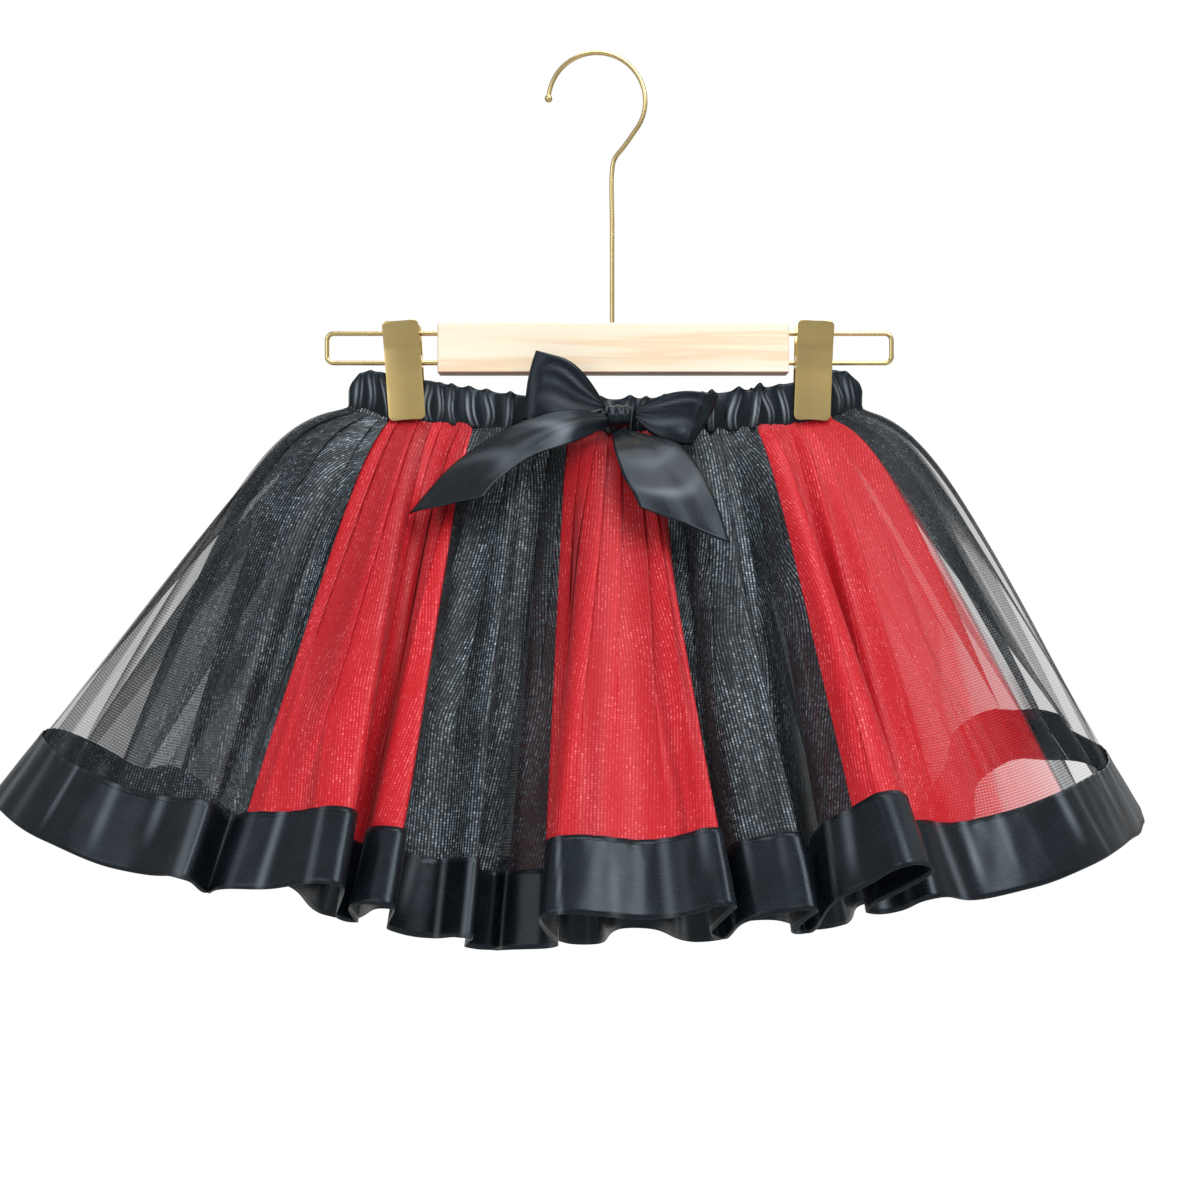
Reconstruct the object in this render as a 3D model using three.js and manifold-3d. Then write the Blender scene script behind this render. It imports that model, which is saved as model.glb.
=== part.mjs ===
// A child's gathered tulle skirt on a wooden clip hanger, in millimetres.
// The skirt: a gathered satin waistband with a bow, thirteen tulle panels in two colours, and a
// satin ribbon round the hem. The hanger: a hook, a bar, two wire rails and two pinch clips.
// Origin: the inside top of the hook. +X is the viewer's right, +Y goes to the wall, +Z is up.

import * as THREE from 'three';
import { mergeVertices } from 'three/addons/utils/BufferGeometryUtils.js';
import Module from 'manifold-3d';

const wasm = await Module();
wasm.setup();

const gap = 0.3;
const up = new THREE.Vector3(0, 0, 1);

const finishes = {
  blackTulle: { color: 0x2a2d31, roughness: 0.7, metalness: 0 },
  redTulle: { color: 0xc8202e, roughness: 0.7, metalness: 0 },
  blackSatin: { color: 0x1c2026, roughness: 0.4, metalness: 0 },
  brass: { color: 0xb09a66, roughness: 0.35, metalness: 1 },
  pine: { color: 0xeedcb4, roughness: 0.6, metalness: 0 },
};

for (const name of Object.keys(finishes)) {
  finishes[name] = new THREE.MeshStandardMaterial(finishes[name]);
}

const model = new THREE.Group();

function addPiece(name, geometry, finish) {
  const mesh = new THREE.Mesh(geometry, finishes[finish]);
  mesh.name = name;
  model.add(mesh);
}

// ---- walls made from a grid of points: columns run left to right, rows run down ----

function faced(points, closed) {
  const columns = points.length;
  const pick = (i, j) => points[closed ? (i + columns) % columns : THREE.MathUtils.clamp(i, 0, columns - 1)][j];
  return points.map((column, i) => column.map((point, j) => {
    const above = Math.max(j - 1, 0);
    const below = Math.min(j + 1, column.length - 1);
    const along = pick(i + 1, j).clone().sub(pick(i - 1, j)).normalize();
    const down = column[below].clone().sub(column[above]);
    return { point, along, normal: down.cross(along).normalize() };
  }));
}

function lifted(grid, height) {
  return grid.map((column) => column.map(({ point, normal }) => point.clone().addScaledVector(normal, height)));
}

function wall(grid, lift, thickness, closed = false) {
  const columns = grid.length;
  const rows = grid[0].length;
  const foot = rows - 1;
  const end = columns - 1;
  const outside = lifted(grid, lift + thickness).flat();
  const inside = lifted(grid, lift).flat();
  const out = (i, j) => (i % columns) * rows + j;
  const into = (i, j) => out(i, j) + columns * rows;
  const index = [];
  const quad = (a, b, c, d) => index.push(a, b, c, a, c, d);
  for (let i = 0; i < (closed ? columns : end); i++) {
    for (let j = 0; j < foot; j++) {
      quad(out(i, j), out(i, j + 1), out(i + 1, j + 1), out(i + 1, j));
      quad(into(i, j), into(i + 1, j), into(i + 1, j + 1), into(i, j + 1));
    }
    quad(out(i, 0), out(i + 1, 0), into(i + 1, 0), into(i, 0));
    quad(out(i, foot), into(i, foot), into(i + 1, foot), out(i + 1, foot));
  }
  for (let j = 0; j < (closed ? 0 : foot); j++) {
    quad(out(0, j), into(0, j), into(0, j + 1), out(0, j + 1));
    quad(out(end, j), out(end, j + 1), into(end, j + 1), into(end, j));
  }
  const geometry = new THREE.BufferGeometry().setFromPoints([...outside, ...inside]);
  geometry.setIndex(index);
  return geometry;
}

// ---- the skirt ----

const skirt = {
  bandWall: 1.8,
  bandPuff: 0.7,
  tulleWall: 1.2,
  ribbonWall: 1,
  ribbonHeight: 38,
  ribbonLap: 7,
  cutLength: 268,
  columnPitch: 10.5,
  gathersPerPanel: 5,
  gatherDepth: 1.1,
  gatherReach: 0.5,
  gatherPressed: 0.15,
  pressedHalf: 1.6,
  freeHalf: 3.6,
  puffHalf: 5,
  shoulderFront: 12,
  shoulderLeft: 48,
  shoulderRight: 33,
  shoulderTurn: 0.05,
  shoulderRise: 2,
  shoulderFade: 1.1,
  frontTurn: 0.05,
};

// Sections of the waistband: place across, half the way between front and back, and its edges' heights.
const waistSections = [
  { x: -130, half: 0.4, top: -177, foot: -184 },
  { x: -128, half: 2.6, top: -172, foot: -186 },
  { x: -121, half: 3.2, top: -167, foot: -188 },
  { x: -111, half: 1.7, top: -167.5, foot: -191 },
  { x: -92, half: 1.7, top: -171, foot: -193 },
  { x: -50, half: 5.5, top: -178, foot: -198 },
  { x: 4, half: 7.5, top: -181.5, foot: -200 },
  { x: 62, half: 5.5, top: -178, foot: -199 },
  { x: 105, half: 1.7, top: -172, foot: -194 },
  { x: 124, half: 1.7, top: -166, foot: -190 },
  { x: 131, half: 3.2, top: -168, foot: -188 },
  { x: 137, half: 2.6, top: -172, foot: -187 },
  { x: 139, half: 0.4, top: -177, foot: -185 },
];

// Panels in order round the skirt, starting at its left side, with the share of waistband each is gathered to.
const panels = [
  { name: 'tulle_black_left_front', finish: 'blackTulle', waist: 44 },
  { name: 'tulle_red_front_left', finish: 'redTulle', waist: 44 },
  { name: 'tulle_black_front_left', finish: 'blackTulle', waist: 49 },
  { name: 'tulle_red_front_middle', finish: 'redTulle', waist: 45 },
  { name: 'tulle_black_front_right', finish: 'blackTulle', waist: 52 },
  { name: 'tulle_red_front_right', finish: 'redTulle', waist: 37 },
  { name: 'tulle_black_right', finish: 'blackTulle', waist: 49 },
  { name: 'tulle_red_back_right', finish: 'redTulle', waist: 36 },
  { name: 'tulle_black_back_right', finish: 'blackTulle', waist: 36 },
  { name: 'tulle_red_back_middle', finish: 'redTulle', waist: 36 },
  { name: 'tulle_black_back_left', finish: 'blackTulle', waist: 36 },
  { name: 'tulle_red_back_left', finish: 'redTulle', waist: 36 },
  { name: 'tulle_black_left_back', finish: 'blackTulle', waist: 38 },
];
const firstPanelStart = -22;

// The hem seen from above: each crest and each turn of a fold. A seam row starts the next panel, and
// take is the cloth that puffs out above it, so that the hem hangs that much less far.
const frontFolds = [
  { x: -299, y: -14, take: -3, seam: true },
  { x: -298, y: -58, take: -5 },
  { x: -253, y: -103, take: -3 },
  { x: -216, y: -116 },
  { x: -198, y: -126 },
  { x: -187, y: -135 },
  { x: -180, y: -116 },
  { x: -170, y: -131, seam: true },
  { x: -144, y: -142 },
  { x: -124, y: -153 },
  { x: -113, y: -154 },
  { x: -121, y: -117 },
  { x: -111, y: -110 },
  { x: -109, y: -138 },
  { x: -92, y: -144, seam: true },
  { x: -98, y: -112 },
  { x: -80, y: -103 },
  { x: -59, y: -117 },
  { x: -64, y: -88 },
  { x: -51, y: -80 },
  { x: -42, y: -92 },
  { x: -26, y: -98, seam: true },
  { x: -17, y: -108 },
  { x: -24, y: -146 },
  { x: -3, y: -151 },
  { x: 22, y: -145 },
  { x: 41, y: -148 },
  { x: 60, y: -156 },
  { x: 51, y: -126, seam: true },
  { x: 59, y: -112 },
  { x: 68, y: -140 },
  { x: 86, y: -144 },
  { x: 98, y: -146 },
  { x: 88, y: -120 },
  { x: 98, y: -112 },
  { x: 108, y: -151 },
  { x: 120, y: -160, seam: true },
  { x: 134, y: -170 },
  { x: 146, y: -161 },
  { x: 124, y: -141 },
  { x: 121, y: -130 },
  { x: 138, y: -125 },
  { x: 151, y: -137 },
  { x: 174, y: -119 },
  { x: 212, y: -106 },
  { x: 240, y: -87, take: 3, seam: true },
  { x: 254, y: -69, take: 6 },
  { x: 267, y: -47, take: 8 },
  { x: 281, y: -18, take: 7 },
];

// The back hangs against the wall in even waves: each wave touches the wall, then turns back to the front.
const backWaves = {
  count: 9,
  wallSide: 37,
  frontSide: -1,
  crest: 15,
  slope: 13,
  seamRows: [3, 8, 13, 18, 23, 28],
  raised: { firstRow: 1, lastRow: 7, take: 48 },
};

function backFolds() {
  const start = frontFolds[frontFolds.length - 1].x + 10;
  const pitch = (start - frontFolds[0].x) / backWaves.count;
  const folds = [];
  for (let wave = 0; wave < backWaves.count; wave++) {
    const x = start - wave * pitch;
    const frontX = x - backWaves.crest - backWaves.slope;
    folds.push({ x, y: backWaves.wallSide - 2 });
    folds.push({ x: x - backWaves.crest, y: backWaves.wallSide });
    folds.push({ x: frontX, y: backWaves.frontSide + 2 });
    folds.push({ x: frontX - backWaves.crest, y: backWaves.frontSide });
  }
  for (const row of backWaves.seamRows) {
    folds[row].seam = true;
  }
  const { firstRow, lastRow, take } = backWaves.raised;
  for (let row = firstRow; row <= lastRow; row++) {
    folds[row].take = take * Math.sin(Math.PI * (row - firstRow + 1) / (lastRow - firstRow + 2));
  }
  return folds;
}

// A closed line round the waistband at the height that each section gives for one of its edges.
function waistRing(edge) {
  const front = waistSections.map((section) => new THREE.Vector3(section.x, -section.half, section[edge]));
  const back = waistSections.map((section) => new THREE.Vector3(section.x, section.half, section[edge]));
  const ring = new THREE.CatmullRomCurve3([...front, ...back.reverse()], true, 'centripetal');
  ring.arcLengthDivisions = 2000;
  return ring;
}

const footRing = waistRing('foot');
const topRing = waistRing('top');
const waistGirth = panels.reduce((sum, panel) => sum + panel.waist, 0);

// One column of the skirt for each step along the hem, with its place on the waistband.
function skirtColumns() {
  const folds = [...frontFolds, ...backFolds()];
  const hem = new THREE.CatmullRomCurve3(
    folds.map(({ x, y }) => new THREE.Vector3(x, y, 0)), true, 'centripetal');
  const columns = [];
  folds.forEach((fold, row) => {
    const next = folds[(row + 1) % folds.length];
    const span = Math.hypot(next.x - fold.x, next.y - fold.y);
    const steps = Math.max(1, Math.round(span / skirt.columnPitch));
    for (let step = 0; step < steps; step++) {
      const part = step / steps;
      columns.push({
        seam: step === 0 && fold.seam === true,
        hem: hem.getPoint((row + part) / folds.length),
        take: THREE.MathUtils.lerp(fold.take ?? 0, next.take ?? 0, part),
      });
    }
  });
  const starts = [...columns.flatMap((column, i) => (column.seam ? [i] : [])), columns.length];
  let panel = -1;
  let waistPlace = firstPanelStart;
  columns.forEach((column, i) => {
    if (column.seam) {
      panel += 1;
      waistPlace += panel === 0 ? 0 : panels[panel - 1].waist;
    }
    const share = (i - starts[panel]) / (starts[panel + 1] - starts[panel]);
    column.panel = panel;
    column.share = share;
    column.turn = (((waistPlace + share * panels[panel].waist) / waistGirth) % 1 + 1) % 1;
    const place = footRing.getUtoTmapping(column.turn);
    column.foot = footRing.getPoint(place);
    column.bandTop = topRing.getPoint(place).z;
  });
  return columns;
}

const columns = skirtColumns();

// Gathers stand out from the band, and are pressed flat where the clips hold its two layers together.
function gather(column) {
  const open = THREE.MathUtils.inverseLerp(skirt.pressedHalf, skirt.freeHalf, Math.abs(column.foot.y));
  const free = THREE.MathUtils.clamp(open, skirt.gatherPressed, 1);
  return free * skirt.gatherDepth * Math.cos(2 * Math.PI * skirt.gathersPerPanel * column.share);
}

function dressColumn(column) {
  const top = column.foot.clone().addScaledVector(up, -gap);
  const across = Math.hypot(column.hem.x - top.x, column.hem.y - top.y);
  const reach = skirt.cutLength - column.take;
  column.hem.z = top.z - Math.sqrt(reach ** 2 - across ** 2);
  const heading = Math.PI + 2 * Math.PI * column.turn;
  const fromEnds = Math.min(column.turn, 0.5 - column.turn);
  const fall = column.hem.clone().sub(top).normalize();
  // The cloth puffs out away from the band at the sides and back, and along its own fall at the front.
  const outward = new THREE.Vector3(Math.cos(heading), Math.sin(heading), 0)
    .lerp(fall.clone().setZ(0).normalize(), THREE.MathUtils.smoothstep(fromEnds, 0, skirt.frontTurn))
    .normalize();
  column.top = top;
  column.shoulder = outward.clone().addScaledVector(fall, -outward.dot(fall)).normalize();
  const shoulderSide = outward.x < 0 ? skirt.shoulderLeft : skirt.shoulderRight;
  column.bulge = THREE.MathUtils.lerp(skirt.shoulderFront, shoulderSide, outward.x ** 4);
}

columns.forEach(dressColumn);

function skirtPoint(column, level) {
  const swell = (level / (level + skirt.shoulderTurn)) ** skirt.shoulderRise * (1 - level) ** skirt.shoulderFade;
  return column.top.clone().lerp(column.hem, level).addScaledVector(column.shoulder, column.bulge * swell);
}

function skirtGrid(levels) {
  const grid = faced(columns.map((column) => levels.map((level) => skirtPoint(column, level))), true);
  grid.forEach((cells, i) => cells.forEach((cell, j) => {
    if (levels[j] === 0) {
      cell.normal.setZ(0).normalize();
    }
    const fade = Math.max(0, 1 - levels[j] / skirt.gatherReach) ** 2;
    cell.point.addScaledVector(cell.normal, fade * gather(columns[i]));
  }));
  return grid;
}

// The stretch of a ring from one column to another, with half the seam's gap taken off each end.
function stretch(grid, from, to) {
  const cut = [];
  for (let i = from; i <= to; i++) {
    const trim = (i === from ? gap / 2 : 0) - (i === to ? gap / 2 : 0);
    cut.push(grid[i % grid.length].map(({ point, along, normal }) => (
      { point: point.clone().addScaledVector(along, trim), along, normal })));
  }
  return cut;
}

const seams = columns.flatMap((column, i) => (column.seam ? [i] : []));
const ribbonLevel = 1 - skirt.ribbonHeight / skirt.cutLength;
const tulleFoot = ribbonLevel + skirt.ribbonLap / skirt.cutLength;

const clothGrid = skirtGrid([0, 0.05, 0.14, 0.4, ribbonLevel, tulleFoot, 1]);
const tulleGrid = clothGrid.map((cells) => cells.slice(0, -1));
const ribbonGrid = clothGrid.map((cells) => cells.slice(-3));

panels.forEach((panel, k) => {
  const part = stretch(tulleGrid, seams[k], seams[k + 1] ?? columns.length);
  addPiece(panel.name, wall(part, -skirt.tulleWall / 2, skirt.tulleWall), panel.finish);
});

const sideSeams = { left: seams[0], right: seams[7] };
const ribbonLift = skirt.tulleWall / 2 + gap;
addPiece('hem_ribbon_front',
  wall(stretch(ribbonGrid, sideSeams.left, sideSeams.right), ribbonLift, skirt.ribbonWall), 'blackSatin');
addPiece('hem_ribbon_back',
  wall(stretch(ribbonGrid, sideSeams.right, columns.length), ribbonLift, skirt.ribbonWall), 'blackSatin');

const bandGrid = faced(columns.map(({ foot, bandTop }) => [1, 0.5, 0].map((height) => (
  foot.clone().addScaledVector(up, height * (bandTop - foot.z))))), true);
bandGrid.forEach((cells, i) => cells.forEach((cell, j) => {
  const puff = j === 1 ? skirt.bandPuff * Math.min(1, Math.abs(columns[i].foot.y) / skirt.puffHalf) : 0;
  cell.point.addScaledVector(cell.normal, gather(columns[i]) + puff);
}));
addPiece('waistband', wall(bandGrid, -skirt.bandWall / 2, skirt.bandWall, true), 'blackSatin');

// ---- the bow ----

const bow = {
  x: 11.5,
  y: -17.8,
  z: -192,
  wall: 1,
  loopStart: 7.7,
  loopSteps: 24,
  loopLift: 2.5,
  loopForward: 4,
  pinch: 1,
  tailCrown: 2,
  tailSteps: 3,
};

// Each loop leans from the knot: half is half the ribbon's width at the loop's end, depth the way through it,
// slant how much further its upper edge reaches than its middle for each millimetre of height, and fullAt and
// fill where and how fast it widens to its full width.
const bowLoops = [
  { name: 'bow_loop_left', length: 48.5, lean: 164, half: 18, depth: 11, slant: 0.05, fullAt: 0.7, fill: 1 },
  { name: 'bow_loop_right', length: 45, lean: -6, half: 13.6, depth: 12, slant: 0.35, fullAt: 0.7, fill: 0.8 },
];

function bowLoop({ length, lean, half, depth, slant, fullAt, fill }) {
  const angle = THREE.MathUtils.degToRad(lean);
  const side = Math.sign(Math.cos(angle));
  const outward = new THREE.Vector3(Math.cos(angle), 0, Math.sin(angle));
  const across = new THREE.Vector3(-Math.sin(angle), 0, Math.cos(angle)).multiplyScalar(side);
  const start = new THREE.Vector3(bow.x, bow.y, bow.z + bow.loopLift);
  const ring = [];
  for (let step = 0; step < bow.loopSteps; step++) {
    const turn = 2 * Math.PI * step / bow.loopSteps;
    const open = (1 - Math.cos(turn)) / 2;
    const reach = THREE.MathUtils.lerp(bow.loopStart, length, open);
    const widened = Math.sin(Math.min(1, open / fullAt) * Math.PI / 2) ** fill;
    const width = THREE.MathUtils.lerp(bow.pinch, half, widened);
    const middle = start.clone().addScaledVector(outward, reach);
    middle.y -= side * depth / 2 * Math.sin(turn) * Math.sqrt(reach / length) + bow.loopForward * open;
    ring.push([width, 0, -width].map((height) => (
      middle.clone().addScaledVector(across, height).addScaledVector(outward, slant * open * height))));
  }
  return wall(faced(ring, true), 0, bow.wall, true);
}

for (const loop of bowLoops) {
  addPiece(loop.name, bowLoop(loop), 'blackSatin');
}

// Tails: one row for each section of the ribbon, from its upper or right edge to the other edge.
const bowTails = [
  {
    name: 'bow_tail_left',
    sections: [
      { from: [-94, -46, -243.5], to: [-56, -62, -236] },
      { from: [-73, -36, -218.5], to: [-50, -56, -228] },
      { from: [-45, -32, -199.5], to: [-33, -46, -215] },
      { from: [-18, -29, -190], to: [-12, -37, -207] },
      { from: [5.8, -19.8, -191], to: [6.5, -19.8, -197] },
    ],
  },
  {
    name: 'bow_tail_right',
    sections: [
      { from: [17, -20.5, -199.7], to: [8, -20.5, -199.7] },
      { from: [42, -33, -208], to: [9, -39, -211] },
      { from: [51, -44, -220], to: [14, -52, -227] },
      { from: [59, -58, -238], to: [18, -58, -234] },
      { from: [65, -69, -259], to: [21, -63, -241] },
    ],
  },
];

function bowTail({ sections }) {
  const fromEdge = new THREE.CatmullRomCurve3(sections.map(({ from }) => new THREE.Vector3(...from)));
  const toEdge = new THREE.CatmullRomCurve3(sections.map(({ to }) => new THREE.Vector3(...to)));
  const crown = new THREE.Vector3(0, -bow.tailCrown, 0);
  const steps = bow.tailSteps * (sections.length - 1);
  const strip = [];
  for (let step = 0; step <= steps; step++) {
    const from = fromEdge.getPoint(step / steps);
    const to = toEdge.getPoint(step / steps);
    strip.push([from, from.clone().lerp(to, 0.5).add(crown), to]);
  }
  return wall(faced(strip, false), 0, bow.wall);
}

for (const tail of bowTails) {
  addPiece(tail.name, bowTail(tail), 'blackSatin');
}

const knot = { radius: 6.4, end: 5.2, half: 6.5, y: -16.6, sides: 14 };
const knotShape = new THREE.LatheGeometry([
  new THREE.Vector2(0, -knot.half),
  new THREE.Vector2(knot.end, -knot.half),
  new THREE.Vector2(knot.radius, 0),
  new THREE.Vector2(knot.end, knot.half),
  new THREE.Vector2(0, knot.half),
], knot.sides);
knotShape.rotateX(Math.PI / 2);
knotShape.translate(bow.x, knot.y, bow.z);
addPiece('bow_knot', knotShape, 'blackSatin');

// ---- the hanger ----

const hanger = { wire: 1.25, wireSides: 8, roundSides: 16 };
const bar = { centre: 8.5, length: 184, top: -141.6, height: 26.6, depth: 12, round: 2.5 };
const hook = {
  stem: 8,
  inside: 24.2,
  tipAngle: 177,
  leaveAngle: -36,
  tipBall: 2.1,
  socket: 11,
  bends: 18,
  steps: 38,
};
const rail = { centre: 6.5, span: 297, top: -146.6, foot: -162.1, corner: 3.5, socket: 12, steps: 32 };

function solid(geometry) {
  const bare = geometry.clone();
  bare.deleteAttribute('normal');
  bare.deleteAttribute('uv');
  const merged = mergeVertices(bare, 1e-4);
  return new wasm.Manifold(new wasm.Mesh({
    numProp: 3,
    vertProperties: new Float32Array(merged.attributes.position.array),
    triVerts: new Uint32Array(merged.index.array),
  }));
}

function geometryOf(manifold) {
  const { vertProperties, triVerts } = manifold.getMesh();
  const geometry = new THREE.BufferGeometry();
  geometry.setAttribute('position', new THREE.BufferAttribute(vertProperties, 3));
  geometry.setIndex(new THREE.BufferAttribute(triVerts, 1));
  return geometry;
}

function wireAlong(points, steps) {
  const section = new THREE.Shape();
  for (let side = 0; side < hanger.wireSides; side++) {
    const angle = 2 * Math.PI * side / hanger.wireSides;
    section[side === 0 ? 'moveTo' : 'lineTo'](hanger.wire * Math.cos(angle), hanger.wire * Math.sin(angle));
  }
  const extrudePath = new THREE.CatmullRomCurve3(points, false, 'centripetal');
  return new THREE.ExtrudeGeometry(section, { steps, extrudePath });
}

// A round pin along X or Z, to cut the socket of a wire with its clearance.
function pin(axis, from, to, a, b) {
  const shape = new THREE.CylinderGeometry(hanger.wire + gap, hanger.wire + gap, to - from, hanger.roundSides);
  if (axis === 'x') {
    return shape.rotateZ(Math.PI / 2).translate((from + to) / 2, a, b);
  }
  return shape.rotateX(Math.PI / 2).translate(a, b, (from + to) / 2);
}

function roundedRectangle(width, height, radius) {
  const x = width / 2 - radius;
  const y = height / 2 - radius;
  const shape = new THREE.Shape();
  shape.absarc(x, y, radius, 0, Math.PI / 2);
  shape.absarc(-x, y, radius, Math.PI / 2, Math.PI);
  shape.absarc(-x, -y, radius, Math.PI, 1.5 * Math.PI);
  shape.absarc(x, -y, radius, 1.5 * Math.PI, 2 * Math.PI);
  return shape;
}

const barEnd = { left: bar.centre - bar.length / 2, right: bar.centre + bar.length / 2 };

function barSolid() {
  const section = roundedRectangle(bar.height, bar.depth, bar.round);
  const beam = new THREE.ExtrudeGeometry(section, { depth: bar.length, bevelEnabled: false, curveSegments: 4 });
  beam.rotateY(Math.PI / 2);
  beam.translate(barEnd.left, 0, bar.top - bar.height / 2);
  let cut = solid(beam);
  for (const height of [rail.top, rail.foot]) {
    cut = cut.subtract(solid(pin('x', barEnd.left - 1, barEnd.left + rail.socket + gap, 0, height)));
    cut = cut.subtract(solid(pin('x', barEnd.right - rail.socket - gap, barEnd.right + 1, 0, height)));
  }
  return cut.subtract(solid(pin('z', bar.top - hook.socket - gap, bar.top + 1, hook.stem, 0)));
}

addPiece('hanger_bar', geometryOf(barSolid()), 'pine');

function hookSolid() {
  const radius = hook.inside + hanger.wire;
  const onBend = (degrees) => {
    const angle = THREE.MathUtils.degToRad(degrees);
    return new THREE.Vector3(radius * Math.cos(angle), 0, radius * Math.sin(angle) - hook.inside);
  };
  const points = [];
  for (let bend = 0; bend <= hook.bends; bend++) {
    points.push(onBend(THREE.MathUtils.lerp(hook.tipAngle, hook.leaveAngle, bend / hook.bends)));
  }
  points.push(
    new THREE.Vector3(14, 0, -48.5),
    new THREE.Vector3(9.4, 0, -54.5),
    new THREE.Vector3(hook.stem, 0, -61),
    new THREE.Vector3(hook.stem, 0, -90),
    new THREE.Vector3(hook.stem, 0, bar.top - hook.socket),
  );
  const ball = new THREE.SphereGeometry(hook.tipBall, 10, 6);
  ball.translate(...onBend(hook.tipAngle).toArray());
  return solid(wireAlong(points, hook.steps)).add(solid(ball));
}

addPiece('hanger_hook', geometryOf(hookSolid()), 'brass');

// Each rail is a wire bent round at its outer end, with both ends in the bar's sockets.
function railGeometry(side) {
  const end = rail.centre + side * rail.span / 2;
  const socketEnd = (side < 0 ? barEnd.left : barEnd.right) - side * rail.socket;
  const bend = end - side * rail.corner;
  const outline = [[socketEnd, rail.top], [(socketEnd + bend) / 2, rail.top]];
  for (const [middle, start] of [[rail.top - rail.corner, 90], [rail.foot + rail.corner, 0]]) {
    for (const turn of [0, 30, 60, 90]) {
      const angle = THREE.MathUtils.degToRad(start - turn);
      const across = side * rail.corner * Math.cos(angle);
      outline.push([bend + across, middle + rail.corner * Math.sin(angle)]);
    }
  }
  outline.push([(socketEnd + bend) / 2, rail.foot], [socketEnd, rail.foot]);
  return wireAlong(outline.map(([x, z]) => new THREE.Vector3(x, 0, z)), rail.steps);
}

addPiece('hanger_rail_left', railGeometry(-1), 'brass');
addPiece('hanger_rail_right', railGeometry(1), 'brass');

// ---- the clips: two plates hinged on the lower wire, with a coil spring between their ears ----

const clip = {
  width: 19,
  above: 21,
  below: 30.2,
  sheet: 1,
  corner: 1.8,
  springRadius: 3.1,
  springHalf: 5.5,
  earRadius: 3.4,
  webDepth: 5,
  depth: 20,
};

// The inner face of a plate in side view, from the finger end down to the jaw.
const plateProfile = [
  { z: clip.above, y: -8 },
  { z: 8, y: -5.2 },
  { z: -4, y: -4.4 },
  { z: -clip.below, y: -3.7 },
];

const clips = [
  { name: 'clip_left', x: -101.4, lean: -3.9 },
  { name: 'clip_right', x: 113.7, lean: 1.9 },
];

function plate(earPlace) {
  const profile = new THREE.Shape();
  plateProfile.forEach(({ y, z }, i) => profile[i === 0 ? 'moveTo' : 'lineTo'](y, z));
  [...plateProfile].reverse().forEach(({ y, z }) => profile.lineTo(y - clip.sheet, z));
  const strip = new THREE.ExtrudeGeometry(profile, { depth: clip.width, bevelEnabled: false });
  strip.translate(0, 0, -clip.width / 2);
  strip.applyMatrix4(new THREE.Matrix4().makeBasis(
    new THREE.Vector3(0, 1, 0), new THREE.Vector3(0, 0, 1), new THREE.Vector3(1, 0, 0)));
  const height = clip.above + clip.below;
  const face = new THREE.ExtrudeGeometry(roundedRectangle(clip.width, height, clip.corner),
    { depth: clip.depth, bevelEnabled: false, curveSegments: 4 });
  face.rotateX(Math.PI / 2);
  face.translate(0, 0, clip.above - height / 2);
  let whole = solid(strip).intersect(solid(face));
  for (const side of [-1, 1]) {
    const lug = new THREE.CylinderGeometry(clip.earRadius, clip.earRadius, clip.sheet, hanger.roundSides);
    lug.rotateZ(Math.PI / 2);
    const web = new THREE.BoxGeometry(clip.sheet, clip.webDepth, 2 * clip.earRadius);
    web.translate(0, -clip.webDepth / 2, 0);
    const place = side * (earPlace - clip.sheet / 2);
    whole = whole.add(solid(lug.translate(place, 0, 0))).add(solid(web.translate(place, 0, 0)));
  }
  return whole;
}

for (const { name, x, lean } of clips) {
  const place = new THREE.Matrix4().makeRotationY(THREE.MathUtils.degToRad(lean));
  place.setPosition(x, 0, rail.foot);
  const wireHole = solid(pin('x', x - clip.width, x + clip.width, 0, rail.foot));
  const set = (shape, turned) => {
    const moved = geometryOf(shape);
    if (turned) {
      moved.rotateZ(Math.PI);
    }
    moved.applyMatrix4(place);
    return geometryOf(solid(moved).subtract(wireHole));
  };
  addPiece(`${name}_front`, set(plate(clip.width / 2), false), 'brass');
  addPiece(`${name}_back`, set(plate(clip.width / 2 - clip.sheet - gap), true), 'brass');
  const spring = new THREE.CylinderGeometry(
    clip.springRadius, clip.springRadius, 2 * clip.springHalf, hanger.roundSides);
  addPiece(`${name}_spring`, set(solid(spring.rotateZ(Math.PI / 2)), false), 'brass');
}

export default model;
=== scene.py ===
# A child's tulle skirt on a wooden clip hanger. Tables are in millimetres, Blender's meshes in metres.
import math

import bpy
import numpy as np
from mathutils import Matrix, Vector


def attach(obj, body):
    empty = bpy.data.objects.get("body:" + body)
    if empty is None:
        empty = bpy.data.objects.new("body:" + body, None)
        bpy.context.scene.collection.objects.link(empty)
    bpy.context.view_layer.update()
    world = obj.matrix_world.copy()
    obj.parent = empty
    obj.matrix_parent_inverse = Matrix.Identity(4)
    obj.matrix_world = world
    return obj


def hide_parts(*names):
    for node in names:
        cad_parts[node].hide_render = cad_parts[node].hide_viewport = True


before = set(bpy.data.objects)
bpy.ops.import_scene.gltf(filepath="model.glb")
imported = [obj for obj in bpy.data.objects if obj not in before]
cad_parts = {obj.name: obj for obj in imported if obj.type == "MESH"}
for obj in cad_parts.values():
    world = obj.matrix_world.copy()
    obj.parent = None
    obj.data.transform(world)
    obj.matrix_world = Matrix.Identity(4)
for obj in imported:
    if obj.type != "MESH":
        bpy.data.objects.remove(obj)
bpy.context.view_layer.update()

mm = 0.001
upward = np.array([0.0, 0.0, 1.0])
draws = np.random.default_rng(31)  # every random draw of the script comes from here
scene = bpy.context.scene
bpy.ops.object.select_all(action="DESELECT")

# Camera, light and floor.

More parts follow.
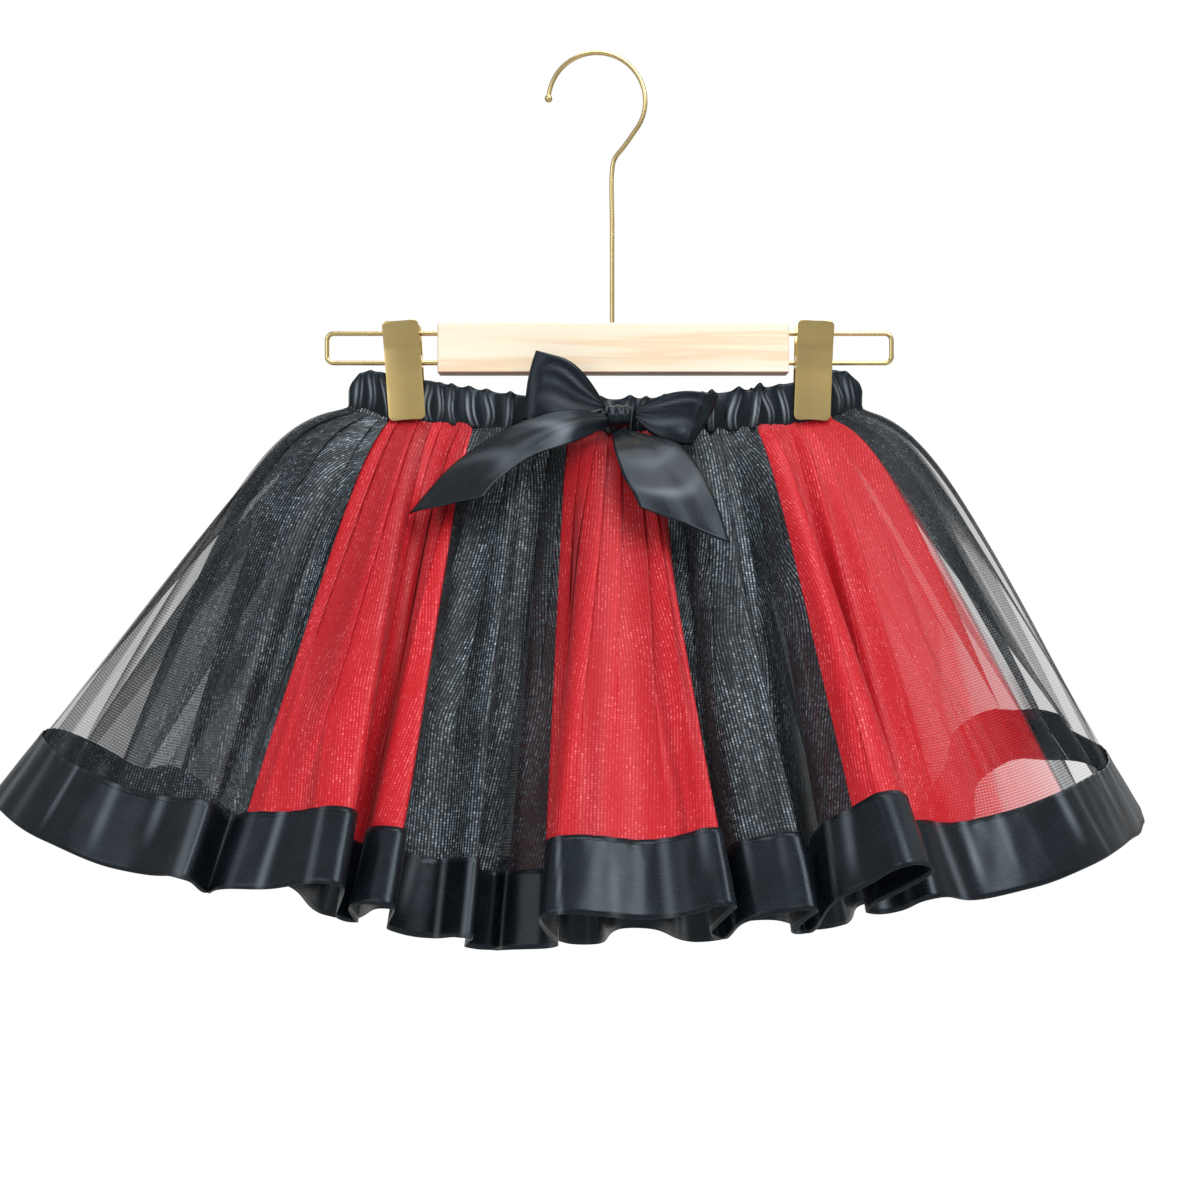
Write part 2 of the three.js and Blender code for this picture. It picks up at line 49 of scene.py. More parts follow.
view = {"across": 1.6, "away": 950, "height": -286.8, "seenHalf": 315.8, "sensor": 36}
studio = {"floor": -640, "floorSize": 30000, "white": 1.0, "ambient": 0.42}
lamps = [  # name, place, aim, size, watts
    ("keyLight", (650, -1150, 850), (0, -60, -320), 900, 17),
    ("fillLight", (-1000, -1200, 200), (-40, -60, -320), 1100, 6),
    ("topLight", (100, -300, 1200), (0, -40, -300), 900, 9),
    ("backLight", (300, 1300, 500), (0, 0, -300), 1200, 8),
]


def makeCamera():
    bpy.ops.object.camera_add(
        location=(view["across"] * mm, -view["away"] * mm, view["height"] * mm),
        rotation=(math.pi / 2, 0, 0),
    )
    camera = bpy.context.object
    camera.name = "camera"
    camera.data.sensor_width = view["sensor"]
    camera.data.lens = view["sensor"] / 2 * view["away"] / view["seenHalf"]
    camera.data.clip_end = 100
    scene.camera = camera


def makeLamps():
    for name, place, aim, size, watts in lamps:
        bpy.ops.object.light_add(type="AREA", location=[c * mm for c in place])
        lamp = bpy.context.object
        lamp.name = name
        lamp.data.size = size * mm
        lamp.data.energy = watts
        lamp.rotation_euler = (Vector(aim) - Vector(place)).to_track_quat("-Z", "Y").to_euler()


def linear(colour):  # an sRGB hex colour as linear red, green, blue and alpha
    parts = [int(colour[k:k + 2], 16) / 255 for k in (1, 3, 5)]
    return [c / 12.92 if c <= 0.04045 else ((c + 0.055) / 1.055) ** 2.4 for c in parts] + [1]


def fillInputs(tree, node, inputs):
    for name, value in inputs.items():
        if isinstance(value, bpy.types.NodeSocket):
            tree.links.new(value, node.inputs[name])
        else:
            node.inputs[name].default_value = value


def addNode(tree, kind, settings={}, inputs={}):
    node = tree.nodes.new("ShaderNode" + kind)
    for name, value in settings.items():
        if name == "stops":
            elements = node.color_ramp.elements
            while len(elements) < len(value):
                elements.new(1)
            for element, (place, colour) in zip(elements, value):
                element.position = place
                element.color = linear(colour)
        else:
            setattr(node, name, value)
    fillInputs(tree, node, inputs)
    return node.outputs


def newMaterial(name):
    material = bpy.data.materials.new(name)
    material.use_nodes = True
    return material, material.node_tree, material.node_tree.nodes["Principled BSDF"]


def makeStudio():
    # The world and the floor are seen as one plain white, and light the skirt less strongly than that.
    scene.view_settings.view_transform = "Standard"
    world = bpy.data.worlds.new("studioWorld")
    scene.world = world
    world.use_nodes = True
    tree = world.node_tree
    background = tree.nodes["Background"]
    seen = addNode(tree, "LightPath")["Is Camera Ray"]
    strength = addNode(tree, "MapRange", inputs={
        "Value": seen, "To Min": studio["ambient"], "To Max": studio["white"]})["Result"]
    fillInputs(tree, background, {"Color": (1, 1, 1, 1), "Strength": strength})

    bpy.ops.mesh.primitive_plane_add(
        size=studio["floorSize"] * mm, location=(0, 0, studio["floor"] * mm))
    floor = bpy.context.object
    floor.name = "floor"
    bpy.ops.object.transform_apply()
    material, tree, shader = newMaterial("white painted floor")
    fillInputs(tree, shader, {"Base Color": linear("#c8c8c6"), "Roughness": 0.9})
    glow = addNode(tree, "Emission", inputs={"Strength": studio["white"]})["Emission"]
    seen = addNode(tree, "LightPath")["Is Camera Ray"]
    mixed = addNode(tree, "MixShader", inputs={0: seen, 1: shader.outputs[0], 2: glow})["Shader"]
    fillInputs(tree, tree.nodes["Material Output"], {"Surface": mixed})
    floor.data.materials.append(material)


makeCamera()
makeLamps()
makeStudio()
print("camera, lamps and floor made")

# Materials.

net = {"wale": 1.65, "course": 1.45, "open": 0.2, "closed": 0.72}  # coarser than the real net, to be seen


def netMaterial(name, deep, thread, glint):
    # Polyester tulle, warp knitted: upright rows of short bright stitches with dark holes between them.
    material, tree, shader = newMaterial(name)
    cut = addNode(tree, "UVMap", {"uv_map": "cut"})["UV"]
    cells = addNode(tree, "VectorMath", {"operation": "MULTIPLY"}, {
        0: cut, 1: (1 / (net["wale"] * mm), 1 / (net["course"] * mm), 0)})["Vector"]
    within = addNode(tree, "VectorMath", {"operation": "FRACTION"}, {0: cells})["Vector"]
    centred = addNode(tree, "VectorMath", {"operation": "SUBTRACT"}, {
        0: within, 1: (0.5, 0.5, 0)})["Vector"]
    away = addNode(tree, "VectorMath", {"operation": "ABSOLUTE"}, {0: centred})["Vector"]
    parts = addNode(tree, "SeparateXYZ", inputs={0: away})
    wale = addNode(tree, "MapRange", {"interpolation_type": "SMOOTHSTEP"}, {
        "Value": parts["X"], "From Min": 0.34, "From Max": 0.1})["Result"]
    course = addNode(tree, "MapRange", {"interpolation_type": "SMOOTHSTEP"}, {
        "Value": parts["Y"], "From Min": 0.5, "From Max": 0.28})["Result"]
    knit = addNode(tree, "Math", {"operation": "MAXIMUM"}, {0: wale, 1: course})["Value"]
    stitch = addNode(tree, "Math", {"operation": "MULTIPLY"}, {0: wale, 1: course})["Value"]
    cell = addNode(tree, "VectorMath", {"operation": "FLOOR"}, {0: cells})["Vector"]
    chance = addNode(tree, "TexWhiteNoise", {"noise_dimensions": "2D"}, {"Vector": cell})["Value"]
    # Some stitches catch the light more than others, in patches where the cloth's plies lie in step.
    wide = addNode(tree, "VectorMath", {"operation": "MULTIPLY"}, {0: cut, 1: (75, 22, 0)})["Vector"]
    patch = addNode(tree, "TexNoise", {"noise_dimensions": "2D"}, {
        "Vector": wide, "Scale": 1.0, "Detail": 3.0})["Fac"]
    even = addNode(tree, "MapRange", inputs={
        "Value": patch, "From Min": 0.35, "From Max": 0.68, "To Min": 0.35, "To Max": 1.2})["Result"]
    lit = addNode(tree, "Math", {"operation": "POWER"}, {0: chance, 1: 1.4})["Value"]
    lit = addNode(tree, "MapRange", inputs={"Value": lit, "To Min": 0.15, "To Max": 0.9})["Result"]
    plies = addNode(tree, "Attribute", {"attribute_name": "plies"})["Fac"]
    packed = addNode(tree, "MapRange", inputs={
        "Value": plies, "From Min": 1.0, "From Max": 6.0, "To Min": 0.25, "To Max": 1.0})["Result"]
    even = addNode(tree, "Math", {"operation": "MULTIPLY"}, {0: even, 1: packed})["Value"]
    bright = addNode(tree, "Math", {"operation": "MULTIPLY"}, {0: lit, 1: even})["Value"]
    bright = addNode(tree, "Math", {"operation": "MULTIPLY"}, {0: bright, 1: stitch})["Value"]
    colour = addNode(tree, "Mix", {"data_type": "RGBA"}, {
        "Factor": bright, 6: linear(deep), 7: linear(thread)})[2]
    # Painted glints: a few stitches are mixed towards a near-white glint colour.
    rare = addNode(tree, "MapRange", inputs={
        "Value": chance, "From Min": 0.9, "From Max": 1.0, "To Max": 0.35})["Result"]
    spark = addNode(tree, "Math", {"operation": "MULTIPLY"}, {0: rare, 1: stitch})["Value"]
    spark = addNode(tree, "Math", {"operation": "MULTIPLY"}, {0: spark, 1: even})["Value"]
    colour = addNode(tree, "Mix", {"data_type": "RGBA"}, {
        "Factor": spark, 6: colour, 7: linear(glint)})[2]
    # Painted shade: the valleys between the gathers are darkened, as they lie in their own shade.
    valley = addNode(tree, "Attribute", {"attribute_name": "valley"})["Fac"]
    shade = addNode(tree, "MapRange", inputs={"Value": valley, "To Min": 1.0, "To Max": 0.35})["Result"]
    colour = addNode(tree, "VectorMath", {"operation": "SCALE"}, {0: colour, "Scale": shade})["Vector"]
    clear = addNode(tree, "MapRange", inputs={
        "Value": knit, "To Min": 1 - net["open"], "To Max": 1 - net["closed"]})["Result"]
    through = addNode(tree, "Math", {"operation": "POWER"}, {0: clear, 1: plies})["Value"]
    alpha = addNode(tree, "Math", {"operation": "SUBTRACT"}, {0: 1.0, 1: through})["Value"]
    fillInputs(tree, shader, {
        "Base Color": colour, "Alpha": alpha, "Roughness": 0.5, "Sheen Weight": 0.05,
        "Specular IOR Level": 0.25})
    return material


def satinMaterial(name, deep, bloom):
    # Polyester satin: long floats make it deep black, with soft bright bands where a fold turns to the
    # light.
    material, tree, shader = newMaterial(name)
    cut = addNode(tree, "UVMap", {"uv_map": "cut"})["UV"]
    cloudy = addNode(tree, "VectorMath", {"operation": "MULTIPLY"}, {0: cut, 1: (45, 70, 0)})["Vector"]
    cloud = addNode(tree, "TexNoise", {"noise_dimensions": "2D"}, {
        "Vector": cloudy, "Scale": 1.0, "Detail": 2.0})["Fac"]
    floats = addNode(tree, "VectorMath", {"operation": "MULTIPLY"}, {0: cut, 1: (160, 3200, 0)})["Vector"]
    lines = addNode(tree, "TexNoise", {"noise_dimensions": "2D"}, {
        "Vector": floats, "Scale": 1.0, "Detail": 2.0})["Fac"]
    fine = addNode(tree, "VectorMath", {"operation": "MULTIPLY"}, {0: cut, 1: (1100, 1500, 0)})["Vector"]
    grain = addNode(tree, "TexNoise", {"noise_dimensions": "2D"}, {
        "Vector": fine, "Scale": 1.0, "Detail": 1.0})["Fac"]
    grain = addNode(tree, "MapRange", inputs={"Value": grain, "From Min": 0.35, "From Max": 0.7})["Result"]
    worn = addNode(tree, "Math", {"operation": "MULTIPLY"}, {0: cloud, 1: grain})["Value"]
    colour = addNode(tree, "Mix", {"data_type": "RGBA"}, {
        "Factor": worn, 6: linear(deep), 7: linear(bloom)})[2]
    # Painted highlight: a pale grey is mixed into the colour along the crest of each gather and soft
    # crease, where the long floats shine.
    crest = addNode(tree, "Attribute", {"attribute_name": "crest"})["Fac"]
    colour = addNode(tree, "Mix", {"data_type": "RGBA"}, {
        "Factor": crest, 6: colour, 7: linear("#a5b1bb")})[2]
    gloss = addNode(tree, "MapRange", inputs={
        "Value": lines, "From Min": 0.3, "From Max": 0.7, "To Min": 0.26, "To Max": 0.33})["Result"]
    relief = addNode(tree, "Bump", inputs={"Height": lines, "Strength": 0.1, "Distance": 0.00004})["Normal"]
    ease = addNode(tree, "Bump", inputs={
        "Height": cloud, "Strength": 0.2, "Distance": 0.001, "Normal": relief})["Normal"]
    fillInputs(tree, shader, {
        "Base Color": colour, "Roughness": gloss, "Normal": ease, "Specular IOR Level": 0.37,
        "Specular Tint": linear("#d2e2ee")})
    return material


def pineMaterial():
    # Sanded pine: pale sapwood with faint pinkish rings running along the bar, under clear matt lacquer.
    material, tree, shader = newMaterial("sanded pine")
    place = addNode(tree, "TexCoord")["Object"]
    along = addNode(tree, "Mapping", inputs={"Vector": place, "Scale": (5, 120, 120)})["Vector"]
    rings = addNode(tree, "TexNoise", inputs={
        "Vector": along, "Scale": 1.0, "Detail": 3.0, "Distortion": 0.4})["Fac"]
    fibre = addNode(tree, "Mapping", inputs={"Vector": place, "Scale": (25, 1500, 1500)})["Vector"]
    pores = addNode(tree, "TexNoise", inputs={"Vector": fibre, "Scale": 1.0, "Detail": 2.0})["Fac"]
    wood = addNode(tree, "ValToRGB", {"stops": [
        (0.35, "#fff6e2"), (0.5, "#fff1d8"), (0.6, "#f6dcba"), (0.68, "#fff2da")]}, {"Fac": rings})["Color"]
    fleck = addNode(tree, "MapRange", inputs={
        "Value": pores, "From Min": 0.55, "From Max": 0.8, "To Max": 0.2})["Result"]
    colour = addNode(tree, "Mix", {"data_type": "RGBA"}, {
        "Factor": fleck, 6: wood, 7: linear("#f3dcb2")})[2]
    # Painted shade: the bar's lower edge is darkened to a soft reddish brown, standing for its shaded
    # underside with a little red light from the skirt in it.
    height = addNode(tree, "SeparateXYZ", inputs={0: place})["Z"]
    paintedUndersideShade = addNode(tree, "MapRange", {"interpolation_type": "SMOOTHSTEP"}, {
        "Value": height, "From Min": -0.1669, "From Max": -0.1676, "To Max": 0.85})["Result"]
    colour = addNode(tree, "Mix", {"data_type": "RGBA"}, {
        "Factor": paintedUndersideShade, 6: colour, 7: linear("#8a5d44")})[2]
    relief = addNode(tree, "Bump", inputs={
        "Height": pores, "Strength": 0.15, "Distance": 0.00008})["Normal"]
    fillInputs(tree, shader, {
        "Base Color": colour, "Roughness": 0.45, "Normal": relief, "Coat Weight": 0.15,
        "Coat Roughness": 0.3})
    return material


def brassMaterial(name, bright, dull, rough):
    # Brass-plated steel, tumbled and lacquered: warm metal, mottled, with small scratches.
    material, tree, shader = newMaterial(name)
    place = addNode(tree, "TexCoord")["Object"]
    mottle = addNode(tree, "TexNoise", inputs={"Vector": place, "Scale": 55.0, "Detail": 3.0})["Fac"]
    brushed = addNode(tree, "Mapping", inputs={"Vector": place, "Scale": (3000, 3000, 120)})["Vector"]
    scratch = addNode(tree, "TexNoise", inputs={"Vector": brushed, "Scale": 1.0, "Detail": 2.0})["Fac"]
    colour = addNode(tree, "Mix", {"data_type": "RGBA"}, {
        "Factor": mottle, 6: linear(bright), 7: linear(dull)})[2]
    gloss = addNode(tree, "MapRange", inputs={
        "Value": mottle, "From Min": 0.3, "From Max": 0.7,
        "To Min": rough, "To Max": rough + 0.1})["Result"]
    relief = addNode(tree, "Bump", inputs={
        "Height": scratch, "Strength": 0.1, "Distance": 0.00004})["Normal"]
    fillInputs(tree, shader, {
        "Base Color": colour, "Metallic": 1.0, "Roughness": gloss, "Normal": relief})
    return material


materials = {
    "black_tulle": netMaterial("black knitted tulle", "#0a1017", "#a6bac6", "#eef4f6"),
    "red_tulle": netMaterial("red knitted tulle", "#bf101d", "#ee5a64", "#ffa0a0"),
    "black_satin": satinMaterial("black polyester satin", "#070b10", "#232c34"),
    "pine": pineMaterial(),
    "brass_plate": brassMaterial("tumbled brass plate", "#dcc68e", "#bfa566", 0.3),
    "gilt_wire": brassMaterial("gilt steel wire", "#ead6a2", "#cfb577", 0.2),
}
print("materials made")

# Lines and sheets.


def smoothLine(points, closed=False):  # a centripetal line through the points, read at places from 0 to 1
    points = np.array(points, float)
    if closed:
        ring = np.concatenate([points[-1:], points, points[:2]])
    else:
        ring = np.concatenate([[2 * points[0] - points[1]], points, [2 * points[-1] - points[-2]]])
    spans = len(ring) - 3
    steps = np.linalg.norm(np.diff(ring, axis=0), axis=1) ** 0.5

    def at(places):
        scaled = np.atleast_1d(places) * spans
        span = np.clip(scaled.astype(int), 0, spans - 1)
        part = (scaled - span)[:, None]
        a, b, c, d = (ring[span + k] for k in range(4))
        before, here, after = (steps[span + k][:, None] for k in range(3))
        leave = ((b - a) / before - (c - a) / (before + here) + (c - b) / here) * here
        arrive = ((c - b) / here - (d - b) / (here + after) + (d - c) / after) * here
        bend = 3 * (c - b) - 2 * leave - arrive
        return b + leave * part + bend * part ** 2 + (2 * (b - c) + leave + arrive) * part ** 3

    return at


def unit(vectors):
    return vectors / np.maximum(np.linalg.norm(vectors, axis=-1, keepdims=True), 1e-9)


def blend(a, b, share):
    return a + (b - a) * share


def facing(grid, closed=False):  # outward normals: columns run left to right, rows run down
    if closed:
        along = np.roll(grid, -1, axis=0) - np.roll(grid, 1, axis=0)
    else:
        along = np.gradient(grid, axis=0)
    return unit(np.cross(np.gradient(grid, axis=1), along))


def pick(piece):
    bpy.ops.object.select_all(action="DESELECT")
    piece.select_set(True)
    bpy.context.view_layer.objects.active = piece


def applyModifier(piece, kind, **settings):
    pick(piece)
    modifier = piece.modifiers.new(kind, kind)
    for name, value in settings.items():
        setattr(modifier, name, value)
    bpy.ops.object.modifier_apply(modifier=modifier.name)
    piece.select_set(False)


def newPiece(name, points, faces, slot):
    mesh = bpy.data.meshes.new(name)
    mesh.from_pydata((np.asarray(points) * mm).tolist(), [], faces)
    mesh.shade_smooth()
    piece = bpy.data.objects.new(name, mesh)
    scene.collection.objects.link(piece)
    dress(piece, slot)
    return piece


def dress(piece, slot):
    piece.data.materials.clear()
    piece.data.materials.append(materials[slot])
    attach(piece, "root")


# A sheet of cloth from a grid of points, with its cut's own width and length as its UV map, in metres.
def clothPiece(name, grid, cut, slot, wall=0, closed=False, values={}):
    columns, rows = grid.shape[:2]

    def corner(i, j):
        return (i % columns) * rows + j

    faces, corners = [], []
    for i in range(columns if closed else columns - 1):
        for j in range(rows - 1):
            faces.append((corner(i, j), corner(i, j + 1), corner(i + 1, j + 1), corner(i + 1, j)))
            corners += [cut[i, j], cut[i, j + 1], cut[i + 1, j + 1], cut[i + 1, j]]
    piece = newPiece(name, grid.reshape(-1, 3), faces, slot)
    piece.data.uv_layers.new(name="cut").data.foreach_set("uv", (np.array(corners) * mm).ravel())
    for key, value in values.items():
        value = np.broadcast_to(value, (columns, rows)).astype(np.float32)
        piece.data.attributes.new(key, "FLOAT", "POINT").data.foreach_set("value", value.ravel())
    if wall:
        applyModifier(piece, "SOLIDIFY", thickness=wall * mm, offset=0, use_even_offset=False)
    return piece


# The skirt's form: the waistband's rings, the hem's folds, and the cloth that hangs between them.

skirt = {
    "cutLength": 268, "ribbonHeight": 38, "ribbonLap": 7, "gap": 0.3,
    "shoulderFront": 12, "shoulderLeft": 48, "shoulderRight": 33, "shoulderTurn": 0.05, "shoulderFade": 1.1,
    "frontTurn": 0.05, "firstPanelStart": -22, "hemEase": (-8, -5, -2, 0, 2, 5, 8), "hemSamples": 60,
    "ringSteps": 4000,
}

waistSections = [  # across, half the way between front and back, top edge, foot edge
    (-130, 0.4, -177, -184), (-128, 2.6, -172, -186), (-121, 3.2, -167, -188), (-111, 1.7, -167.5, -191),
    (-92, 1.7, -171, -193), (-50, 5.5, -178, -198), (4, 7.5, -181.5, -200), (62, 5.5, -178, -199),
    (105, 1.7, -172, -194), (124, 1.7, -166, -190), (131, 3.2, -168, -188), (137, 2.6, -172, -187),
    (139, 0.4, -177, -185),
]

# Each panel: its slot, its share of the waistband, how many plies of net lie over each other at places from
# its left end to its right end, the pitch of its pleats, the levels between which they open out, its laps
# behind its neighbours, and how many single folds of it lie over one another.
panels = {
    "black_left_front": ("black_tulle", 44, ((0, 0.33), (0.45, 0.38), (0.62, 0.8), (0.8, 2.5), (1, 6)),
                         30, (0.95, 1.35), (0, 0), 6),
    "red_front_left": ("red_tulle", 44, ((0, 11), (1, 11)), 26, (0.55, 0.9), (10, 28), 0),
    "black_front_left": ("black_tulle", 49,
                         ((0, 1.7), (0.15, 1.8), (0.27, 9), (0.7, 9), (0.82, 2), (1, 1.7)),
                         26, (0.5, 0.8), (0, 0), 0),
    "red_front_middle": ("red_tulle", 45, ((0, 11), (1, 11)), 26, (0.5, 0.8), (28, 8), 0),
    "black_front_right": ("black_tulle", 52, ((0, 8), (0.72, 9), (0.84, 2), (1, 1.8)),
                          26, (0.5, 0.8), (0, 0), 0),
    "red_front_right": ("red_tulle", 37, ((0, 11), (0.5, 9), (0.62, 3.4), (0.78, 1.5), (1, 0.7)),
                        26, (0.6, 1.1), (28, 6), 2),
    "black_right": ("black_tulle", 49, ((0, 0.4), (0.3, 0.22), (1, 0.2)), 34, (0.95, 1.35), (0, 0), 4),
    "red_back_right": ("red_tulle", 36, ((0, 0.35), (1, 0.7)), 30, (0.9, 1.3), (0, 0), 2),
    "black_back_right": ("black_tulle", 36, ((0, 1.1), (1, 1.8)), 26, (0.6, 1.3), (0, 0), 0),
    "red_back_middle": ("red_tulle", 36, ((0, 2.2), (1, 2.2)), 26, (0.6, 1.3), (0, 0), 0),
    "black_back_left": ("black_tulle", 36, ((0, 2.0), (1, 1.8)), 26, (0.6, 1.3), (0, 0), 0),
    "red_back_left": ("red_tulle", 36, ((0, 1.4), (1, 1.1)), 30, (0.9, 1.3), (0, 0), 2),
    "black_left_back": ("black_tulle", 38, ((0, 0.36), (1, 0.33)), 34, (0.95, 1.35), (0, 0), 4),
}

# The hem seen from above: across, depth, the cloth taken up above it, and 1 where a panel starts.
frontFolds = [
    (-299, -14, -3, 1), (-298, -58, -5, 0), (-253, -103, -3, 0), (-216, -116, 0, 0), (-198, -126, 0, 0),
    (-187, -135, 0, 0), (-180, -116, 0, 0), (-170, -131, 0, 1), (-144, -142, 0, 0), (-124, -153, 0, 0),
    (-113, -154, 0, 0), (-121, -117, 0, 0), (-111, -110, 0, 0), (-109, -138, 0, 0), (-92, -144, 0, 1),
    (-98, -112, 0, 0), (-80, -103, 0, 0), (-59, -117, 0, 0), (-64, -88, 0, 0), (-51, -80, 0, 0),
    (-42, -92, 0, 0), (-26, -98, 0, 1), (-17, -108, 0, 0), (-24, -146, 0, 0), (-3, -151, 0, 0),
    (22, -145, 0, 0), (41, -148, 0, 0), (60, -156, 0, 0), (51, -126, 0, 1), (59, -112, 0, 0),
    (68, -140, 0, 0), (86, -144, 0, 0), (98, -146, 0, 0), (88, -120, 0, 0), (98, -112, 0, 0),
    (108, -151, 0, 0), (120, -160, 0, 1), (134, -170, 0, 0), (146, -161, 0, 0), (124, -141, 0, 0),
    (121, -130, 0, 0), (138, -125, 0, 0), (151, -137, 0, 0), (174, -119, 0, 0), (212, -106, 0, 0),
    (240, -87, 3, 1), (254, -69, 6, 0), (267, -47, 8, 0), (281, -18, 7, 0),
]

backWaves = {
    "count": 9, "wallSide": 37, "frontSide": -1, "crest": 15, "slope": 13,
    "seamRows": (3, 8, 13, 18, 23, 28), "raisedFrom": 1, "raisedTo": 7, "raisedTake": 48,
    "startBefore": 10, "rounding": 2,
}


def backFolds():
    start = frontFolds[-1][0] + backWaves["startBefore"]
    pitch = (start - frontFolds[0][0]) / backWaves["count"]
    crest, slope, rounding = backWaves["crest"], backWaves["slope"], backWaves["rounding"]
    places = []
    for wave in range(backWaves["count"]):
        x = start - wave * pitch
        places += [(x, backWaves["wallSide"] - rounding), (x - crest, backWaves["wallSide"])]
        places += [(x - crest - slope, backWaves["frontSide"] + rounding)]
        places += [(x - 2 * crest - slope, backWaves["frontSide"])]
    first, last = backWaves["raisedFrom"], backWaves["raisedTo"]
    folds = []
    for row, (x, y) in enumerate(places):
        raised = math.sin(math.pi * (row - first + 1) / (last - first + 2)) if first <= row <= last else 0
        folds.append((x, y, backWaves["raisedTake"] * raised, int(row in backWaves["seamRows"])))
    return folds


def waistLine(edge):
    column = {"top": 2, "foot": 3}[edge]
    front = [(s[0], -s[1], s[column]) for s in waistSections]
    back = [(s[0], s[1], s[column]) for s in reversed(waistSections)]
    return smoothLine(front + back, closed=True)


footLine, topLine = waistLine("foot"), waistLine("top")
ringPlaces = np.linspace(0, 1, skirt["ringSteps"] + 1)
ringArc = np.concatenate([[0], np.cumsum(np.linalg.norm(np.diff(footLine(ringPlaces), axis=0), axis=1))])
waistGirth = ringArc[-1]


def waistAt(turn):  # the waistband's foot, and the height of its top, a part of the way round it
    places = np.interp(turn % 1, ringArc / waistGirth, ringPlaces)
    return footLine(places), topLine(places)[:, 2]


# One row for each fine step along the hem: where it is, and where its cloth starts on the waistband.
def hangCloth():
    folds = frontFolds + backFolds()
    count = len(folds)
    places = np.linspace(0, 1, count * skirt["hemSamples"] + 1)
    hem = smoothLine([(x, y, 0) for x, y, take, seam in folds], closed=True)(places)
    arc = np.concatenate([[0], np.cumsum(np.linalg.norm(np.diff(hem, axis=0), axis=1))])
    takes = [take for x, y, take, seam in folds]
    take = np.interp(places * count, np.arange(count + 1), takes + takes[:1])
    seamSteps = [row * skirt["hemSamples"] for row, fold in enumerate(folds) if fold[3]]
    seams = np.append(arc[seamSteps], arc[-1])
    shares = np.array([panel[1] for panel in panels.values()], float)
    starts = skirt["firstPanelStart"] + np.concatenate([[0], np.cumsum(shares)[:-1]])
    panel = np.clip(np.searchsorted(seams, arc, "right") - 1, 0, len(panels) - 1)
    share = (arc - seams[panel]) / (seams[panel + 1] - seams[panel])
    turn = (starts[panel] + share * shares[panel]) / shares.sum()
    top = waistAt(turn)[0] - skirt["gap"] * upward
    across = np.hypot(hem[:, 0] - top[:, 0], hem[:, 1] - top[:, 1])
    height = top[:, 2] - np.sqrt((skirt["cutLength"] - take) ** 2 - across ** 2)
    # The hem's small steps are eased over a few millimetres of its length.
    eased = [np.interp((arc + shift) % arc[-1], arc, height) for shift in skirt["hemEase"]]
    hem[:, 2] = np.mean(eased, axis=0)
    heading = math.pi + 2 * math.pi * turn
    outward = np.stack([np.cos(heading), np.sin(heading), 0 * heading], axis=1)
    fall = unit(hem - top)
    # The cloth puffs out away from the band at the sides and back, and along its own fall at the front.
    fromEnds = np.clip(np.minimum(turn % 1, 0.5 - turn % 1) / skirt["frontTurn"], 0, 1)[:, None]
    outward = unit(blend(outward, unit(fall * (1, 1, 0)), fromEnds ** 2 * (3 - 2 * fromEnds)))
    shoulder = unit(outward - fall * (outward * fall).sum(axis=1, keepdims=True))
    side = np.where(outward[:, 0] < 0, skirt["shoulderLeft"], skirt["shoulderRight"])
    bulge = blend(skirt["shoulderFront"], side, outward[:, 0] ** 4)
    return {"arc": arc, "seams": seams, "table": np.column_stack([top, hem, shoulder, bulge])}


cloth = hangCloth()
ribbonLevel = 1 - skirt["ribbonHeight"] / skirt["cutLength"]
tulleFoot = ribbonLevel + skirt["ribbonLap"] / skirt["cutLength"]


def hangingPoint(place, level):  # place is how far along the hem, level 0 at the waist and 1 at the hem
    place, level = np.broadcast_arrays(place, level)
    flat = place.ravel() % cloth["arc"][-1]
    read = np.stack([np.interp(flat, cloth["arc"], column) for column in cloth["table"].T], axis=1)
    read = read.reshape(*place.shape, -1)
    depth = np.clip(level, 0, 1)[..., None]
    swell = (depth / (depth + skirt["shoulderTurn"])) ** 2 * (1 - depth) ** skirt["shoulderFade"]
    return blend(read[..., 0:3], read[..., 3:6], depth) + read[..., 6:9] * read[..., 9:10] * swell


def hangingNormal(place, level, step=1.5, drop=0.006):
    along = hangingPoint(place + step, level) - hangingPoint(place - step, level)
    lower, upper = np.clip(level + drop, 0, 1), np.clip(level - drop, 0, 1)
    down = hangingPoint(place, lower) - hangingPoint(place, upper)
    return unit(np.cross(down, along))


print("the skirt's form is worked out: waist", round(waistGirth), "mm, hem", round(cloth["arc"][-1]), "mm")

# The tulle panels.

tulle = {
    "columnPitch": 1.5, "rows": 44, "rowEase": 1.35, "tuck": 2.5, "inset": 0.3, "lapDepth": 2.2,
    "lapEase": 7, "cutSpacing": 500, "waistPlies": 0.8, "waistPliesFade": 3,
    "fewestPleats": 3, "pleatWidth": (0.6, 1.4), "pleatStrength": (0.7, 1.15), "pleatLay": 0.85,
    "pleatLift": 1.5, "settledFrom": 0.04, "settledLeast": 0.15, "settledUntil": 0.12,
    "ripples": (11.3, 19.7), "rippleLift": 0.35, "rippleSway": 2, "rippleSwayLong": 5.3,
    "valleyStart": (2, 8), "valleyHalf": (2.5, 6.5), "valleyDeep": (0.25, 0.8), "valleyEnds": (0.6, 1.5),
    "valleySway": (-6, 6), "valleyBend": 2.5, "valleySharp": 0.45, "valleySoft": 1.6, "valleyPower": 1.3,
    "valleyFade": 0.35, "valleyPitch": (8, 22), "valleyUnderFolds": 0.35,
    "foldMiddle": (0.3, 0.8), "foldHalf": (0.3, 0.55), "foldEnds": (0.9, 1.7), "foldSway": (-0.5, 0.5),
    "foldTaper": 0.8, "foldPlies": 0.8, "foldEdge": 0.006,
}


